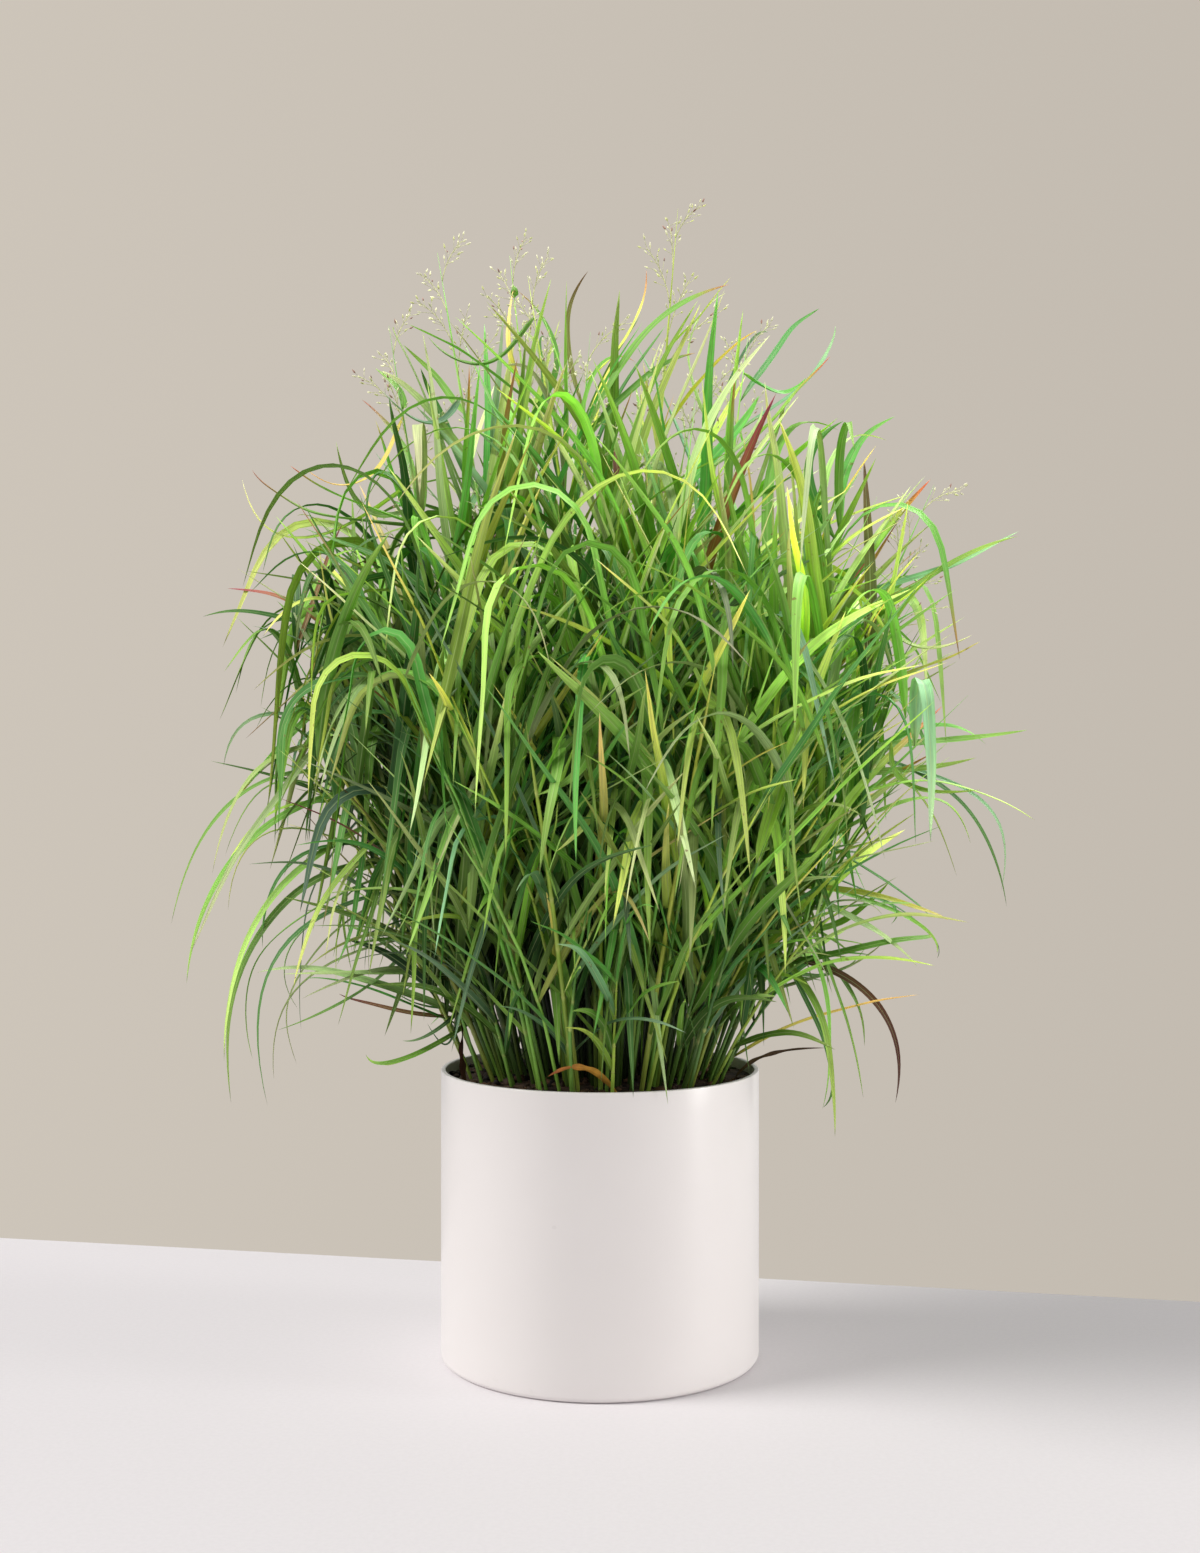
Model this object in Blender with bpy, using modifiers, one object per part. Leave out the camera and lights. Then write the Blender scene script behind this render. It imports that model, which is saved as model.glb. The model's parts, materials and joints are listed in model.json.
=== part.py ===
"""Switchgrass growing in a plain cylindrical planter: pot, soil, leafy culms, flowering culms and dry blades.

Metres, +Z up, origin at the middle of the pot's underside. The grass is a fountain: its culms, the jointed
stems, rise from roots spread over the soil and lean outwards the more the further out they stand. Each
carries blades that arch under their own weight, and is one solid with them. No solid touches another: a blade
that would cross something is drawn again until it hangs clear.
"""

import math

import bmesh
import bpy
import numpy as np
from mathutils import Matrix, Vector
from mathutils.bvhtree import BVHTree

# Pot and soil
POT_RADIUS = 0.150
POT_HEIGHT = 0.271
POT_WALL = 0.0045
POT_FLOOR = 0.007
FOOT_ROUNDING = 0.006
RIM_ROUNDING = 0.0012
TURNING_STEPS = 40
SOIL_DROP = 0.010
SOIL_CROWN = 0.005
GAP = 0.0003

# Culms
LEAFY_COUNT = 44
ROOT_DISC_RADIUS = 0.117
GOLDEN_ANGLE = math.pi * (3 - math.sqrt(5))
CULM_DEPTH = 0.024
COLLAR_HEIGHT = 0.006
CULM_BASE_RADIUS = 0.0021
CULM_TIP_RADIUS = 0.0010
CULM_POINT_RADIUS = 0.0004
HOLE_CLEARANCE = 0.0006
HOLE_SIDES = 5
MIDDLE_CULM_LENGTH = 0.66
OUTER_CULM_LENGTH = 0.38
CULM_LENGTH_SPREAD = (0.86, 1.06)
MIDDLE_LEAN = math.radians(2)
OUTER_LEAN = math.radians(22)
LEAN_GAIN = 1.3
FLOWERING_LEAN_GAIN = 1.25
LEAN_SPREAD = (math.radians(-1.5), math.radians(3.0))
SIDEWAYS_SPREAD = 0.03
KNEE_SHARE = 0.45
CULM_SHARES = (0.0, 0.25, 0.5, 0.75, 1.0)

# Tops of the flowering culms, the tallest at the top of the object
FLOWER_TOPS = (
    (0.073, -0.020, 1.078),
    (-0.154, 0.000, 1.042),
    (-0.087, 0.030, 1.048),
    (-0.067, -0.040, 1.010),
    (-0.200, 0.000, 0.973),
    (-0.009, -0.030, 0.960),
    (0.142, 0.020, 0.970),
    (0.320, 0.020, 0.825),
    (0.037, -0.050, 0.911),
    (0.112, 0.050, 0.941),
)
PANICLE_LENGTH = 0.17
PANICLE_BRANCHES = 6
PANICLE_SPREAD = math.radians(24)
BRANCH_WIDTH = 0.0016
BRANCH_LENGTH = 0.075
BRANCH_SHARES = (0.0, 0.4, 1.0)
BRANCH_TURN = 0.4
BRANCH_SPREADS = (0.7, 1.3)
BRANCH_LENGTHS = (0.8, 1.1)
LOWEST_BRANCH = 1.15
BRANCH_SHORTENING = 0.6
BRANCH_NOD = (0.12, 0.10)
PANICLE_BARE_TIP = 0.15

# Blades that grow by rule. A pair is the least and the most that is drawn, and angles are from the vertical
LEAVES_PER_CULM = 7
FLOWERING_CULM_LEAVES = (1, 3)
LOWEST_LEAF = 0.12
HIGHEST_LEAF = 0.95
BLADE_THICKNESS = 0.0014
BLADE_WIDTHS = (0.008, 0.0135)
LEFT_SLIMNESS = 0.85
BLADE_LENGTHS = (0.22, 0.40)
FIRST_INCLINES = (math.radians(10), math.radians(34))
OUTER_INCLINE = math.radians(36)
OUTER_DISTANCE = 0.20
MIDDLE_TURN = 0.95
TURN_LOST_OUTSIDE = 0.42
LONGEST_BLADE_SHARE = 0.55
LENGTH_LOSS = 0.25
LEFT_FROM = -0.3
STIFF_SWINGS = (math.radians(4), math.radians(44))
ARCHED_SWINGS = (math.radians(90), math.radians(135))
STEEPEST_HANG = math.radians(172)
BEND_STARTS = (0.0, 0.25)
BEND_END = 0.95
SIDEWAYS_DRIFT = 0.35
TWIST = math.radians(45)
ROLL = math.radians(22)
LANDMARK_TURN = math.radians(30)
# The share of arched blades, and how much more there are on the left and at the front
ARCHED_PART = 0.36
ARCHED_LEFT = 0.26
ARCHED_FRONT = 0.14
ARCHED_SHARES = (0.0, 0.10, 0.34, 0.56, 0.78, 1.0)
STIFF_SHARES = (0.0, 0.12, 0.45, 0.75, 1.0)
PATH_STEPS = 48
LEAFY_STEPS = slice(6, -2)
BLADE_TRIES = 140
CLEARANCE_THICKNESS = 0.0036
CLEARANCE_WIDTH = 1.2

# How far from the axis the mass of leaves reaches, by height, and how far a blade may differ from that
REACH_HEIGHTS = (0.275, 0.36, 0.45, 0.57, 0.68, 0.78, 0.88, 0.96, 1.03)
REACH_RADII = (0.175, 0.245, 0.305, 0.345, 0.350, 0.310, 0.240, 0.175, 0.090)
REACH_LEEWAY = (0.86, 1.08)
HIGHEST_BLADE = 1.0

# Blades placed one by one, by their foot, middle and tip, and their width: they give the clump its outline
LANDMARK_WANDER = 0.0008
LANDMARK_BLADES = (
    # those that arch out and hang on the left
    ((-0.208, -0.020, 0.551), (-0.334, -0.040, 0.528), (-0.395, -0.050, 0.410), 0.007),
    ((-0.221, -0.050, 0.534), (-0.325, -0.083, 0.480), (-0.370, -0.100, 0.360), 0.007),
    ((-0.185, -0.040, 0.465), (-0.308, -0.066, 0.411), (-0.334, -0.080, 0.250), 0.008),
    ((-0.218, 0.020, 0.447), (-0.322, 0.033, 0.379), (-0.336, 0.040, 0.272), 0.006),
    ((-0.195, -0.080, 0.498), (-0.246, -0.119, 0.432), (-0.268, -0.140, 0.361), 0.006),
    ((-0.192, 0.030, 0.466), (-0.243, 0.024, 0.437), (-0.237, 0.020, 0.360), 0.006),
    ((-0.149, -0.030, 0.352), (-0.217, -0.043, 0.364), (-0.293, -0.050, 0.364), 0.009),
    ((-0.150, 0.020, 0.308), (-0.209, 0.020, 0.325), (-0.250, 0.020, 0.338), 0.005),
    ((-0.140, -0.020, 0.290), (-0.173, -0.026, 0.285), (-0.203, -0.030, 0.278), 0.006),
    ((-0.196, -0.060, 0.688), (-0.252, -0.086, 0.642), (-0.317, -0.100, 0.580), 0.009),
    ((-0.226, 0.000, 0.660), (-0.284, 0.000, 0.595), (-0.345, 0.000, 0.524), 0.008),
    ((-0.225, -0.120, 0.640), (-0.231, -0.146, 0.595), (-0.247, -0.160, 0.521), 0.010),
    # those that point up and out on the left
    ((-0.270, 0.000, 0.694), (-0.263, 0.000, 0.737), (-0.244, 0.000, 0.785), 0.006),
    ((-0.247, 0.030, 0.697), (-0.300, 0.043, 0.714), (-0.363, 0.050, 0.729), 0.007),
    ((-0.229, 0.020, 0.773), (-0.280, 0.033, 0.803), (-0.337, 0.040, 0.843), 0.009),
    ((-0.195, -0.030, 0.775), (-0.238, -0.037, 0.805), (-0.287, -0.040, 0.834), 0.009),
    ((-0.164, 0.040, 0.825), (-0.196, 0.046, 0.873), (-0.232, 0.050, 0.913), 0.009),
    ((-0.123, -0.020, 0.841), (-0.164, -0.026, 0.893), (-0.204, -0.030, 0.924), 0.010),
    ((-0.071, -0.050, 0.878), (-0.121, -0.056, 0.931), (-0.175, -0.060, 0.960), 0.012),
    ((-0.122, 0.050, 0.894), (-0.156, 0.056, 0.930), (-0.193, 0.060, 0.969), 0.008),
    ((-0.135, -0.080, 0.774), (-0.199, -0.093, 0.819), (-0.208, -0.100, 0.745), 0.010),
    # those at the top
    ((-0.033, 0.000, 0.882), (-0.031, 0.000, 0.969), (-0.011, 0.000, 1.025), 0.006),
    ((0.000, -0.030, 0.906), (0.031, -0.030, 0.966), (0.043, -0.030, 1.018), 0.006),
    ((-0.087, 0.000, 0.902), (-0.087, 0.000, 0.954), (-0.082, 0.000, 1.007), 0.009),
    ((0.000, 0.040, 0.901), (-0.043, 0.034, 0.957), (-0.080, 0.030, 1.014), 0.009),
    ((-0.014, -0.050, 0.851), (0.041, -0.063, 0.949), (0.118, -0.070, 0.994), 0.011),
    ((0.069, 0.030, 0.908), (0.087, 0.030, 0.966), (0.122, 0.030, 1.012), 0.010),
    ((0.065, -0.030, 0.859), (0.102, -0.043, 0.922), (0.145, -0.050, 0.957), 0.009),
    # those that point up and out on the right
    ((0.085, 0.000, 0.798), (0.117, -0.013, 0.858), (0.149, -0.020, 0.903), 0.013),
    ((0.144, 0.030, 0.841), (0.178, 0.030, 0.903), (0.222, 0.030, 0.951), 0.009),
    ((0.211, 0.050, 0.868), (0.206, 0.050, 0.937), (0.229, 0.050, 0.985), 0.008),
    ((0.189, 0.000, 0.798), (0.238, 0.013, 0.848), (0.283, 0.020, 0.891), 0.012),
    ((0.156, -0.060, 0.790), (0.191, -0.073, 0.829), (0.221, -0.080, 0.868), 0.010),
    ((0.211, 0.020, 0.724), (0.269, 0.026, 0.778), (0.321, 0.030, 0.825), 0.011),
    ((0.147, -0.050, 0.699), (0.211, -0.056, 0.745), (0.279, -0.060, 0.792), 0.011),
    ((0.237, 0.000, 0.706), (0.303, -0.013, 0.734), (0.393, -0.020, 0.776), 0.011),
    ((0.228, -0.030, 0.617), (0.301, -0.037, 0.647), (0.352, -0.040, 0.671), 0.010),
    ((0.225, 0.020, 0.560), (0.318, 0.007, 0.579), (0.405, 0.000, 0.590), 0.010),
    # those that droop on the right
    ((0.225, -0.050, 0.530), (0.314, -0.070, 0.540), (0.394, -0.080, 0.506), 0.009),
    ((0.261, 0.040, 0.567), (0.349, 0.053, 0.523), (0.398, 0.060, 0.418), 0.007),
    ((0.193, -0.050, 0.432), (0.250, -0.070, 0.406), (0.287, -0.080, 0.374), 0.009),
    ((0.242, 0.040, 0.436), (0.302, 0.053, 0.411), (0.330, 0.060, 0.368), 0.006),
    ((0.199, 0.000, 0.434), (0.273, -0.013, 0.430), (0.326, -0.020, 0.411), 0.007),
    ((0.164, -0.020, 0.379), (0.255, -0.040, 0.339), (0.272, -0.050, 0.245), 0.008),
    ((0.160, -0.060, 0.387), (0.199, -0.092, 0.323), (0.209, -0.110, 0.225), 0.008),
    ((0.150, -0.120, 0.737), (0.202, -0.185, 0.598), (0.237, -0.220, 0.477), 0.009),
    ((0.125, -0.100, 0.453), (0.175, -0.133, 0.473), (0.227, -0.150, 0.489), 0.013),
    ((0.183, 0.030, 0.374), (0.232, 0.037, 0.407), (0.281, 0.040, 0.446), 0.010),
    # those that bow forwards and hang down the front
    ((-0.049, -0.120, 0.614), (-0.028, -0.172, 0.741), (-0.002, -0.200, 0.619), 0.013),
    ((-0.070, -0.140, 0.595), (-0.093, -0.179, 0.666), (-0.100, -0.200, 0.518), 0.011),
    ((0.080, -0.120, 0.561), (0.099, -0.172, 0.673), (0.124, -0.200, 0.535), 0.012),
    ((0.079, -0.140, 0.482), (0.098, -0.179, 0.547), (0.109, -0.200, 0.455), 0.012),
    ((-0.022, -0.100, 0.704), (-0.007, -0.165, 0.646), (0.000, -0.200, 0.551), 0.014),
    ((0.017, -0.140, 0.595), (0.000, -0.192, 0.535), (-0.037, -0.220, 0.483), 0.012),
    ((0.035, -0.150, 0.595), (0.051, -0.196, 0.695), (0.062, -0.220, 0.560), 0.010),
)

# Dry leaves low in the clump, each in its own hole: foot at the soil, middle, tip and width
DRY_BLADES = (
    ((-0.124, -0.043, 0.262), (-0.127, -0.045, 0.300), (-0.122, -0.047, 0.346), 0.010),
    ((0.016, -0.119, 0.262), (-0.012, -0.130, 0.289), (-0.046, -0.137, 0.283), 0.006),
    ((0.124, -0.034, 0.262), (0.152, -0.040, 0.287), (0.208, -0.050, 0.296), 0.0035),
)
DRY_STALK_WIDTH = 0.003
DRY_WIDENING = 0.12
DRY_SHARES = (0.55, 0.8, 1.0)
DRY_ROLL = 0.5
DRY_TWIST = 0.4

# Every random draw is seeded by this number and by the culm, leaf and try that it belongs to
SEED = 4107


def material(name, colour, roughness):
    """A plain Principled material of one colour."""
    made = bpy.data.materials.new(name)
    made.use_nodes = True
    shader = made.node_tree.nodes["Principled BSDF"]
    shader.inputs["Base Color"].default_value = (*colour, 1.0)
    shader.inputs["Roughness"].default_value = roughness
    shader.inputs["Metallic"].default_value = 0.0
    return made


def add_object(name, mesh, collection, finish):
    """A named object for a mesh, with its material, in a collection."""
    mesh.materials.clear()
    mesh.materials.append(finish)
    made = bpy.data.objects.new(name, mesh)
    collection.objects.link(made)
    return made


def arc(centre_x, centre_z, radius, start, end, steps):
    """Points of a round corner in the XZ plane, from the start angle to the end angle in degrees."""
    angles = np.radians(np.linspace(start, end, steps + 1))
    return [(centre_x + radius * math.cos(a), centre_z + radius * math.sin(a)) for a in angles]


def turned(name, profile, collection, finish):
    """A body of revolution: the profile at +X, swept round the Z axis by a Screw modifier."""
    mesh = bpy.data.meshes.new(name)
    edges = [(i, i + 1) for i in range(len(profile) - 1)]
    mesh.from_pydata([(x, 0.0, z) for x, z in profile], edges, [])
    made = add_object(name, mesh, collection, finish)
    screw = made.modifiers.new("Turn", "SCREW")
    screw.steps = screw.render_steps = TURNING_STEPS
    screw.use_merge_vertices = True
    screw.merge_threshold = 0.00001
    screw.use_smooth_shade = True
    return made


def soil_level(distance):
    """Height of the soil at a distance from the axis: a low crown that falls away as the square."""
    edge = POT_HEIGHT - SOIL_DROP
    return edge + SOIL_CROWN * (1 - (distance / (POT_RADIUS - POT_WALL)) ** 2)


def make_pot(collection):
    """The planter: a straight wall, a rounded rim and a rounded foot, with a flat floor."""
    inner = POT_RADIUS - POT_WALL
    profile = [(0.0, POT_FLOOR), (inner, POT_FLOOR)]
    profile += arc(inner + RIM_ROUNDING, POT_HEIGHT - RIM_ROUNDING, RIM_ROUNDING, 180, 90, 2)
    profile += arc(POT_RADIUS - RIM_ROUNDING, POT_HEIGHT - RIM_ROUNDING, RIM_ROUNDING, 90, 0, 2)
    profile += arc(POT_RADIUS - FOOT_ROUNDING, FOOT_ROUNDING, FOOT_ROUNDING, 0, -90, 2)
    profile.append((0.0, 0.0))
    glaze = material("planter_finish", (0.80, 0.76, 0.745), 0.35)
    return turned("pot", profile, collection, glaze)


def make_soil(collection, holes):
    """The potting mix: a low mound that fills the pot, with a plain hole for each foot."""
    outer = POT_RADIUS - POT_WALL - GAP
    profile = [(outer * share, soil_level(outer * share)) for share in (0.0, 0.55, 1.0)]
    profile += [(outer, POT_FLOOR + GAP), (0.0, POT_FLOOR + GAP)]
    mix = material("potting_mix", (0.045, 0.028, 0.018), 0.95)
    soil = turned("soil", profile, collection, mix)
    cut = soil.modifiers.new("Holes", "BOOLEAN")
    cut.operation = "DIFFERENCE"
    cut.operand_type = "COLLECTION"
    cut.collection = holes
    cut.solver = "EXACT"
    return soil


def make_hole(index, foot, direction, radius, holes):
    """A five-sided cutter along a foot, from just under it to above the soil."""
    across = (radius + HOLE_CLEARANCE) / math.cos(math.pi / HOLE_SIDES)
    depth = CULM_DEPTH + COLLAR_HEIGHT + 2 * GAP
    made = bmesh.new()
    sizes = dict(segments=HOLE_SIDES, radius1=across, radius2=across, depth=depth)
    bmesh.ops.create_cone(made, cap_ends=True, **sizes)
    turn = Vector((0, 0, 1)).rotation_difference(Vector(direction)).to_matrix().to_4x4()
    middle = Vector(foot) + Vector(direction) * (depth / 2 - GAP)
    bmesh.ops.transform(made, matrix=Matrix.Translation(middle) @ turn, verts=made.verts)
    mesh = bpy.data.meshes.new(f"hole_{index:02d}")
    made.to_mesh(mesh)
    made.free()
    cutter = bpy.data.objects.new(mesh.name, mesh)
    cutter.hide_render = True
    cutter.display_type = "WIRE"
    holes.objects.link(cutter)


def unit(vectors):
    """Vectors made one long, row by row."""
    return vectors / np.linalg.norm(vectors, axis=-1, keepdims=True)


def culm_sites():
    """Roots spread evenly over the soil by the golden angle, as (x, y, share of the disc's radius)."""
    index = np.arange(LEAFY_COUNT + len(FLOWER_TOPS))
    share = np.sqrt((index + 0.5) / len(index))
    azimuth = index * GOLDEN_ANGLE
    return ROOT_DISC_RADIUS * share * np.cos(azimuth), ROOT_DISC_RADIUS * share * np.sin(azimuth), share


def bow(start, middle, end, count):
    """Points on the quadratic curve that passes through the three given points."""
    u = np.linspace(0, 1, count)[:, None]
    start, middle, end = (np.asarray(p, float) for p in (start, middle, end))
    crown = 2 * middle - (start + end) / 2
    return (1 - u) ** 2 * start + 2 * u * (1 - u) * crown + u**2 * end


def culm_lines():
    """The centre line of each culm from its foot in the soil, flowering ones first.

    A culm leaves the soil at a lean that grows with its distance from the middle, and bends out a little more
    on its way up. A flowering culm takes the root from which a culm would come nearest to its top, and ends
    there.
    """
    xs, ys, shares = culm_sites()
    roots = np.stack([xs, ys, soil_level(np.hypot(xs, ys))], axis=1)
    outward = unit(np.stack([xs, ys, 0 * xs], axis=1))
    leans = MIDDLE_LEAN + (OUTER_LEAN - MIDDLE_LEAN) * shares
    free = list(range(len(roots)))
    lines = []
    for top in FLOWER_TOPS:
        rise = top[2] - roots[:, 2]
        arrival = roots + outward * (rise * np.tan(leans * FLOWERING_LEAN_GAIN))[:, None]
        site = min(free, key=lambda i: math.hypot(arrival[i, 0] - top[0], arrival[i, 1] - top[1]))
        free.remove(site)
        lines.append(culm_line(roots[site], outward[site], leans[site], np.array(top)))
    for site in free:
        draw = np.random.default_rng([SEED, site])
        length = MIDDLE_CULM_LENGTH + (OUTER_CULM_LENGTH - MIDDLE_CULM_LENGTH) * shares[site] ** 1.6
        length *= draw.uniform(*CULM_LENGTH_SPREAD)
        lean = leans[site] * LEAN_GAIN + draw.uniform(*LEAN_SPREAD)
        sideways = draw.uniform(-SIDEWAYS_SPREAD, SIDEWAYS_SPREAD)
        side = np.array([-outward[site, 1], outward[site, 0], 0.0]) * sideways
        heading = unit(outward[site] * math.sin(lean) + side + np.array([0, 0, math.cos(lean)]))
        lines.append(culm_line(roots[site], outward[site], leans[site], roots[site] + length * heading))
    return lines


def culm_line(root, outward, lean, top):
    """One culm: its foot, its direction in the soil, and its jointed line above, read at even steps.

    The joints lie on a quadratic curve that leaves the soil in the foot's direction and ends at the top.
    """
    heading = outward * math.sin(lean) + np.array([0, 0, math.cos(lean)])
    collar = root + heading * COLLAR_HEIGHT
    knee = collar + heading * np.linalg.norm(top - collar) * KNEE_SHARE
    u = np.array(CULM_SHARES)[:, None]
    joints = (1 - u) ** 2 * collar + 2 * u * (1 - u) * knee + u**2 * top
    steps = np.linspace(0, 1, PATH_STEPS + 1)
    line = np.stack([np.interp(steps, CULM_SHARES, joints[:, axis]) for axis in range(3)], axis=1)
    return root - heading * CULM_DEPTH, heading, line


def along(line, share):
    """The point at a share of a line's steps."""
    place = share * (len(line) - 1)
    low = min(int(place), len(line) - 2)
    return line[low] + (place - low) * (line[low + 1] - line[low])


def tube_mesh(name, points, radii):
    """A four-sided rod along points, from a curve with filled caps, welded into one closed mesh."""
    curve = bpy.data.curves.new(name, "CURVE")
    curve.dimensions = "3D"
    curve.bevel_depth = 1.0
    curve.bevel_resolution = 0
    curve.use_fill_caps = True
    spline = curve.splines.new("POLY")
    spline.points.add(len(points) - 1)
    for point, place, radius in zip(spline.points, points, radii):
        point.co = (*place, 1.0)
        point.radius = radius
    rod = bpy.data.objects.new(name, curve)
    bpy.context.scene.collection.objects.link(rod)
    shape = rod.evaluated_get(bpy.context.evaluated_depsgraph_get())
    mesh = bpy.data.meshes.new_from_object(shape)
    bpy.data.objects.remove(rod)
    bpy.data.curves.remove(curve)
    welded = bmesh.new()
    welded.from_mesh(mesh)
    bmesh.ops.remove_doubles(welded, verts=welded.verts, dist=0.00001)
    bmesh.ops.recalc_face_normals(welded, faces=welded.faces)
    bmesh.ops.triangulate(welded, faces=welded.faces)
    welded.to_mesh(mesh)
    welded.free()
    return mesh


def culm_radius(share):
    """A culm's radius at a share of its length."""
    return CULM_BASE_RADIUS + (CULM_TIP_RADIUS - CULM_BASE_RADIUS) * share


def culm_mesh(name, line):
    """One culm's rod: its foot in the soil, its curve, and a rolled young leaf that comes to a point."""
    foot, _, curve = line
    points = [foot] + [along(curve, share) for share in CULM_SHARES]
    radii = [CULM_BASE_RADIUS] + [culm_radius(share) for share in CULM_SHARES[:-1]] + [CULM_POINT_RADIUS]
    return tube_mesh(name, points, radii)


def blade_width(shares, width):
    """Width along a blade: it opens within its first tenth, and tapers to a point."""
    return width * (1 - np.exp(-shares / 0.035)) * (1 - shares**2.4) ** 0.85


def blade_rail(path, shares, azimuth, roll, twist):
    """Centre, side and normal vectors at shares of a blade.

    The side vector is level and square to the blade's azimuth, and is turned about the blade's direction by
    the roll plus the twist times the share.
    """
    steps = np.linspace(0, 1, len(path))
    centre = np.stack([np.interp(shares, steps, path[:, axis]) for axis in range(3)], axis=1)
    slope = np.gradient(path, axis=0)
    tangent = unit(np.stack([np.interp(shares, steps, slope[:, axis]) for axis in range(3)], axis=1))
    level = np.array([-math.sin(azimuth), math.cos(azimuth), 0.0])
    side = unit(level - tangent * (tangent @ level)[:, None])
    normal = np.cross(tangent, side)
    turn = (roll + twist * shares)[:, None]
    return centre, side * np.cos(turn) + normal * np.sin(turn), normal * np.cos(turn) - side * np.sin(turn)


def blade_solid(blade, thickness=BLADE_THICKNESS, widen=1.0, footless=False):
    """A blade as a loft of three-cornered sections, two edges and a keel below, between two points.

    The quads above and below are split from left to right alike, so that the faces of a twisted blade stay
    parallel. Without its foot the blade starts flat at its first section.
    """
    shares = np.array(blade["shares"])
    centre, side, normal = blade_rail(blade["path"], shares, blade["azimuth"], blade["roll"], blade["twist"])
    half = blade_width(shares, blade["width"])[:, None] * widen / 2
    if blade.get("stalk"):
        half[1] = blade["stalk"] / 2
    left = centre + side * half + normal * thickness / 3
    right = centre - side * half + normal * thickness / 3
    keel = centre - normal * thickness * 2 / 3
    rings = np.stack([left, right, keel], axis=1)[1:-1]
    points = np.vstack([rings.reshape(-1, 3), centre[-1:], centre[:1]])
    last, tip, foot = len(rings) - 1, 3 * len(rings), 3 * len(rings) + 1
    faces = []
    for corner in range(3):
        beside = (corner + 1) % 3
        for ring in range(0, 3 * last, 3):
            near, far, near_beside, far_beside = (ring + i for i in (corner, corner + 3, beside, beside + 3))
            if corner == 0:
                faces += [(near, far, far_beside), (near, far_beside, near_beside)]
            else:
                faces += [(near, far, near_beside), (near_beside, far, far_beside)]
        faces.append((3 * last + corner, tip, 3 * last + beside))
        if not footless:
            faces.append((corner, beside, foot))
    if footless:
        faces.append((0, 1, 2))
        points = points[:-1]
    return points, faces


def reach(height):
    """How far from the axis leaves may come at a height."""
    return np.interp(height, REACH_HEIGHTS, REACH_RADII)


def ruled_blade(culm, leaf, attempt, line):
    """One draw of a blade that grows by rule from a culm, or None where it leaves the clump's shape.

    Its inclination from the vertical eases from one angle to another, so a stiff blade stays nearly straight
    and an arched one turns over and hangs.
    """
    draw = np.random.default_rng([SEED, culm, leaf, attempt])
    share = LOWEST_LEAF + (HIGHEST_LEAF - LOWEST_LEAF) * leaf / (LEAVES_PER_CULM - 1)
    start = along(line, share)
    outward = math.atan2(start[1], start[0])
    outness = min(1.0, math.hypot(start[0], start[1]) / OUTER_DISTANCE)
    azimuth = outward + math.pi * (MIDDLE_TURN - TURN_LOST_OUTSIDE * outness) * draw.uniform(-1, 1)
    hanging = ARCHED_PART - ARCHED_LEFT * math.cos(azimuth) - ARCHED_FRONT * math.sin(azimuth)
    arched = draw.random() < hanging
    begin = draw.uniform(*FIRST_INCLINES) + OUTER_INCLINE * outness * max(0.0, math.cos(azimuth - outward))
    finish = min(begin + draw.uniform(*(ARCHED_SWINGS if arched else STIFF_SWINGS)), STEEPEST_HANG)
    bend = draw.uniform(*BEND_STARTS) if arched else 0.0
    length = draw.uniform(*BLADE_LENGTHS) * (1 - LENGTH_LOSS * abs(share - LONGEST_BLADE_SHARE))
    steps = np.linspace(0, 1, PATH_STEPS + 1)
    ease = np.clip((steps - bend) / (BEND_END - bend), 0, 1)
    incline = begin + (finish - begin) * ease**2 * (3 - 2 * ease)
    heading = azimuth + draw.uniform(-SIDEWAYS_DRIFT, SIDEWAYS_DRIFT) * steps
    level = np.sin(incline)
    step = np.stack([level * np.cos(heading), level * np.sin(heading), np.cos(incline)], axis=1)
    bends = np.vstack([np.zeros(3), np.cumsum((step[1:] + step[:-1]) / 2, axis=0)])
    path = start + bends * length / PATH_STEPS
    leeway = draw.uniform(*REACH_LEEWAY)
    width = draw.uniform(*BLADE_WIDTHS) * (LEFT_SLIMNESS if math.cos(azimuth) < LEFT_FROM else 1.0)
    twist = draw.uniform(-TWIST, TWIST)
    roll = draw.uniform(-ROLL, ROLL) - twist / 2
    distance = np.hypot(path[:, 0], path[:, 1])
    if np.any(distance > leeway * reach(path[:, 2])) or path[:, 2].max() > HIGHEST_BLADE:
        return None
    shares = ARCHED_SHARES if arched else STIFF_SHARES
    return dict(path=path, azimuth=azimuth, roll=roll, twist=twist, width=width, shares=shares)


def landmark_blade(index, attempt, lines):
    """One draw of a hand-placed blade: the culm it grows from, and the blade.

    Its foot moves to the nearest culm, or to the next nearest after every twelfth try, and its middle and tip
    wander a little further with each try. It leaves the culm neither at its foot nor at its very tip.
    """
    foot, middle, tip, width = LANDMARK_BLADES[index]
    draw = np.random.default_rng([SEED, 9000 + index, attempt])
    wander = LANDMARK_WANDER * attempt
    gaps = [np.linalg.norm(line[LEAFY_STEPS] - foot, axis=1) for _, _, line in lines]
    order = np.argsort([gap.min() for gap in gaps])
    culm = int(order[attempt // 12 % 6])
    start = lines[culm][2][LEAFY_STEPS][np.argmin(gaps[culm])]
    middle = np.array(middle) + draw.uniform(-wander, wander, 3)
    tip = np.array(tip) + draw.uniform(-wander, wander, 3)
    path = bow(start, middle, tip, PATH_STEPS + 1)
    azimuth = math.atan2(tip[1] - start[1], tip[0] - start[0])
    roll = draw.uniform(-LANDMARK_TURN, LANDMARK_TURN)
    twist = draw.uniform(-LANDMARK_TURN, LANDMARK_TURN)
    return culm, dict(path=path, azimuth=azimuth, roll=roll, twist=twist, width=width, shares=ARCHED_SHARES)


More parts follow.
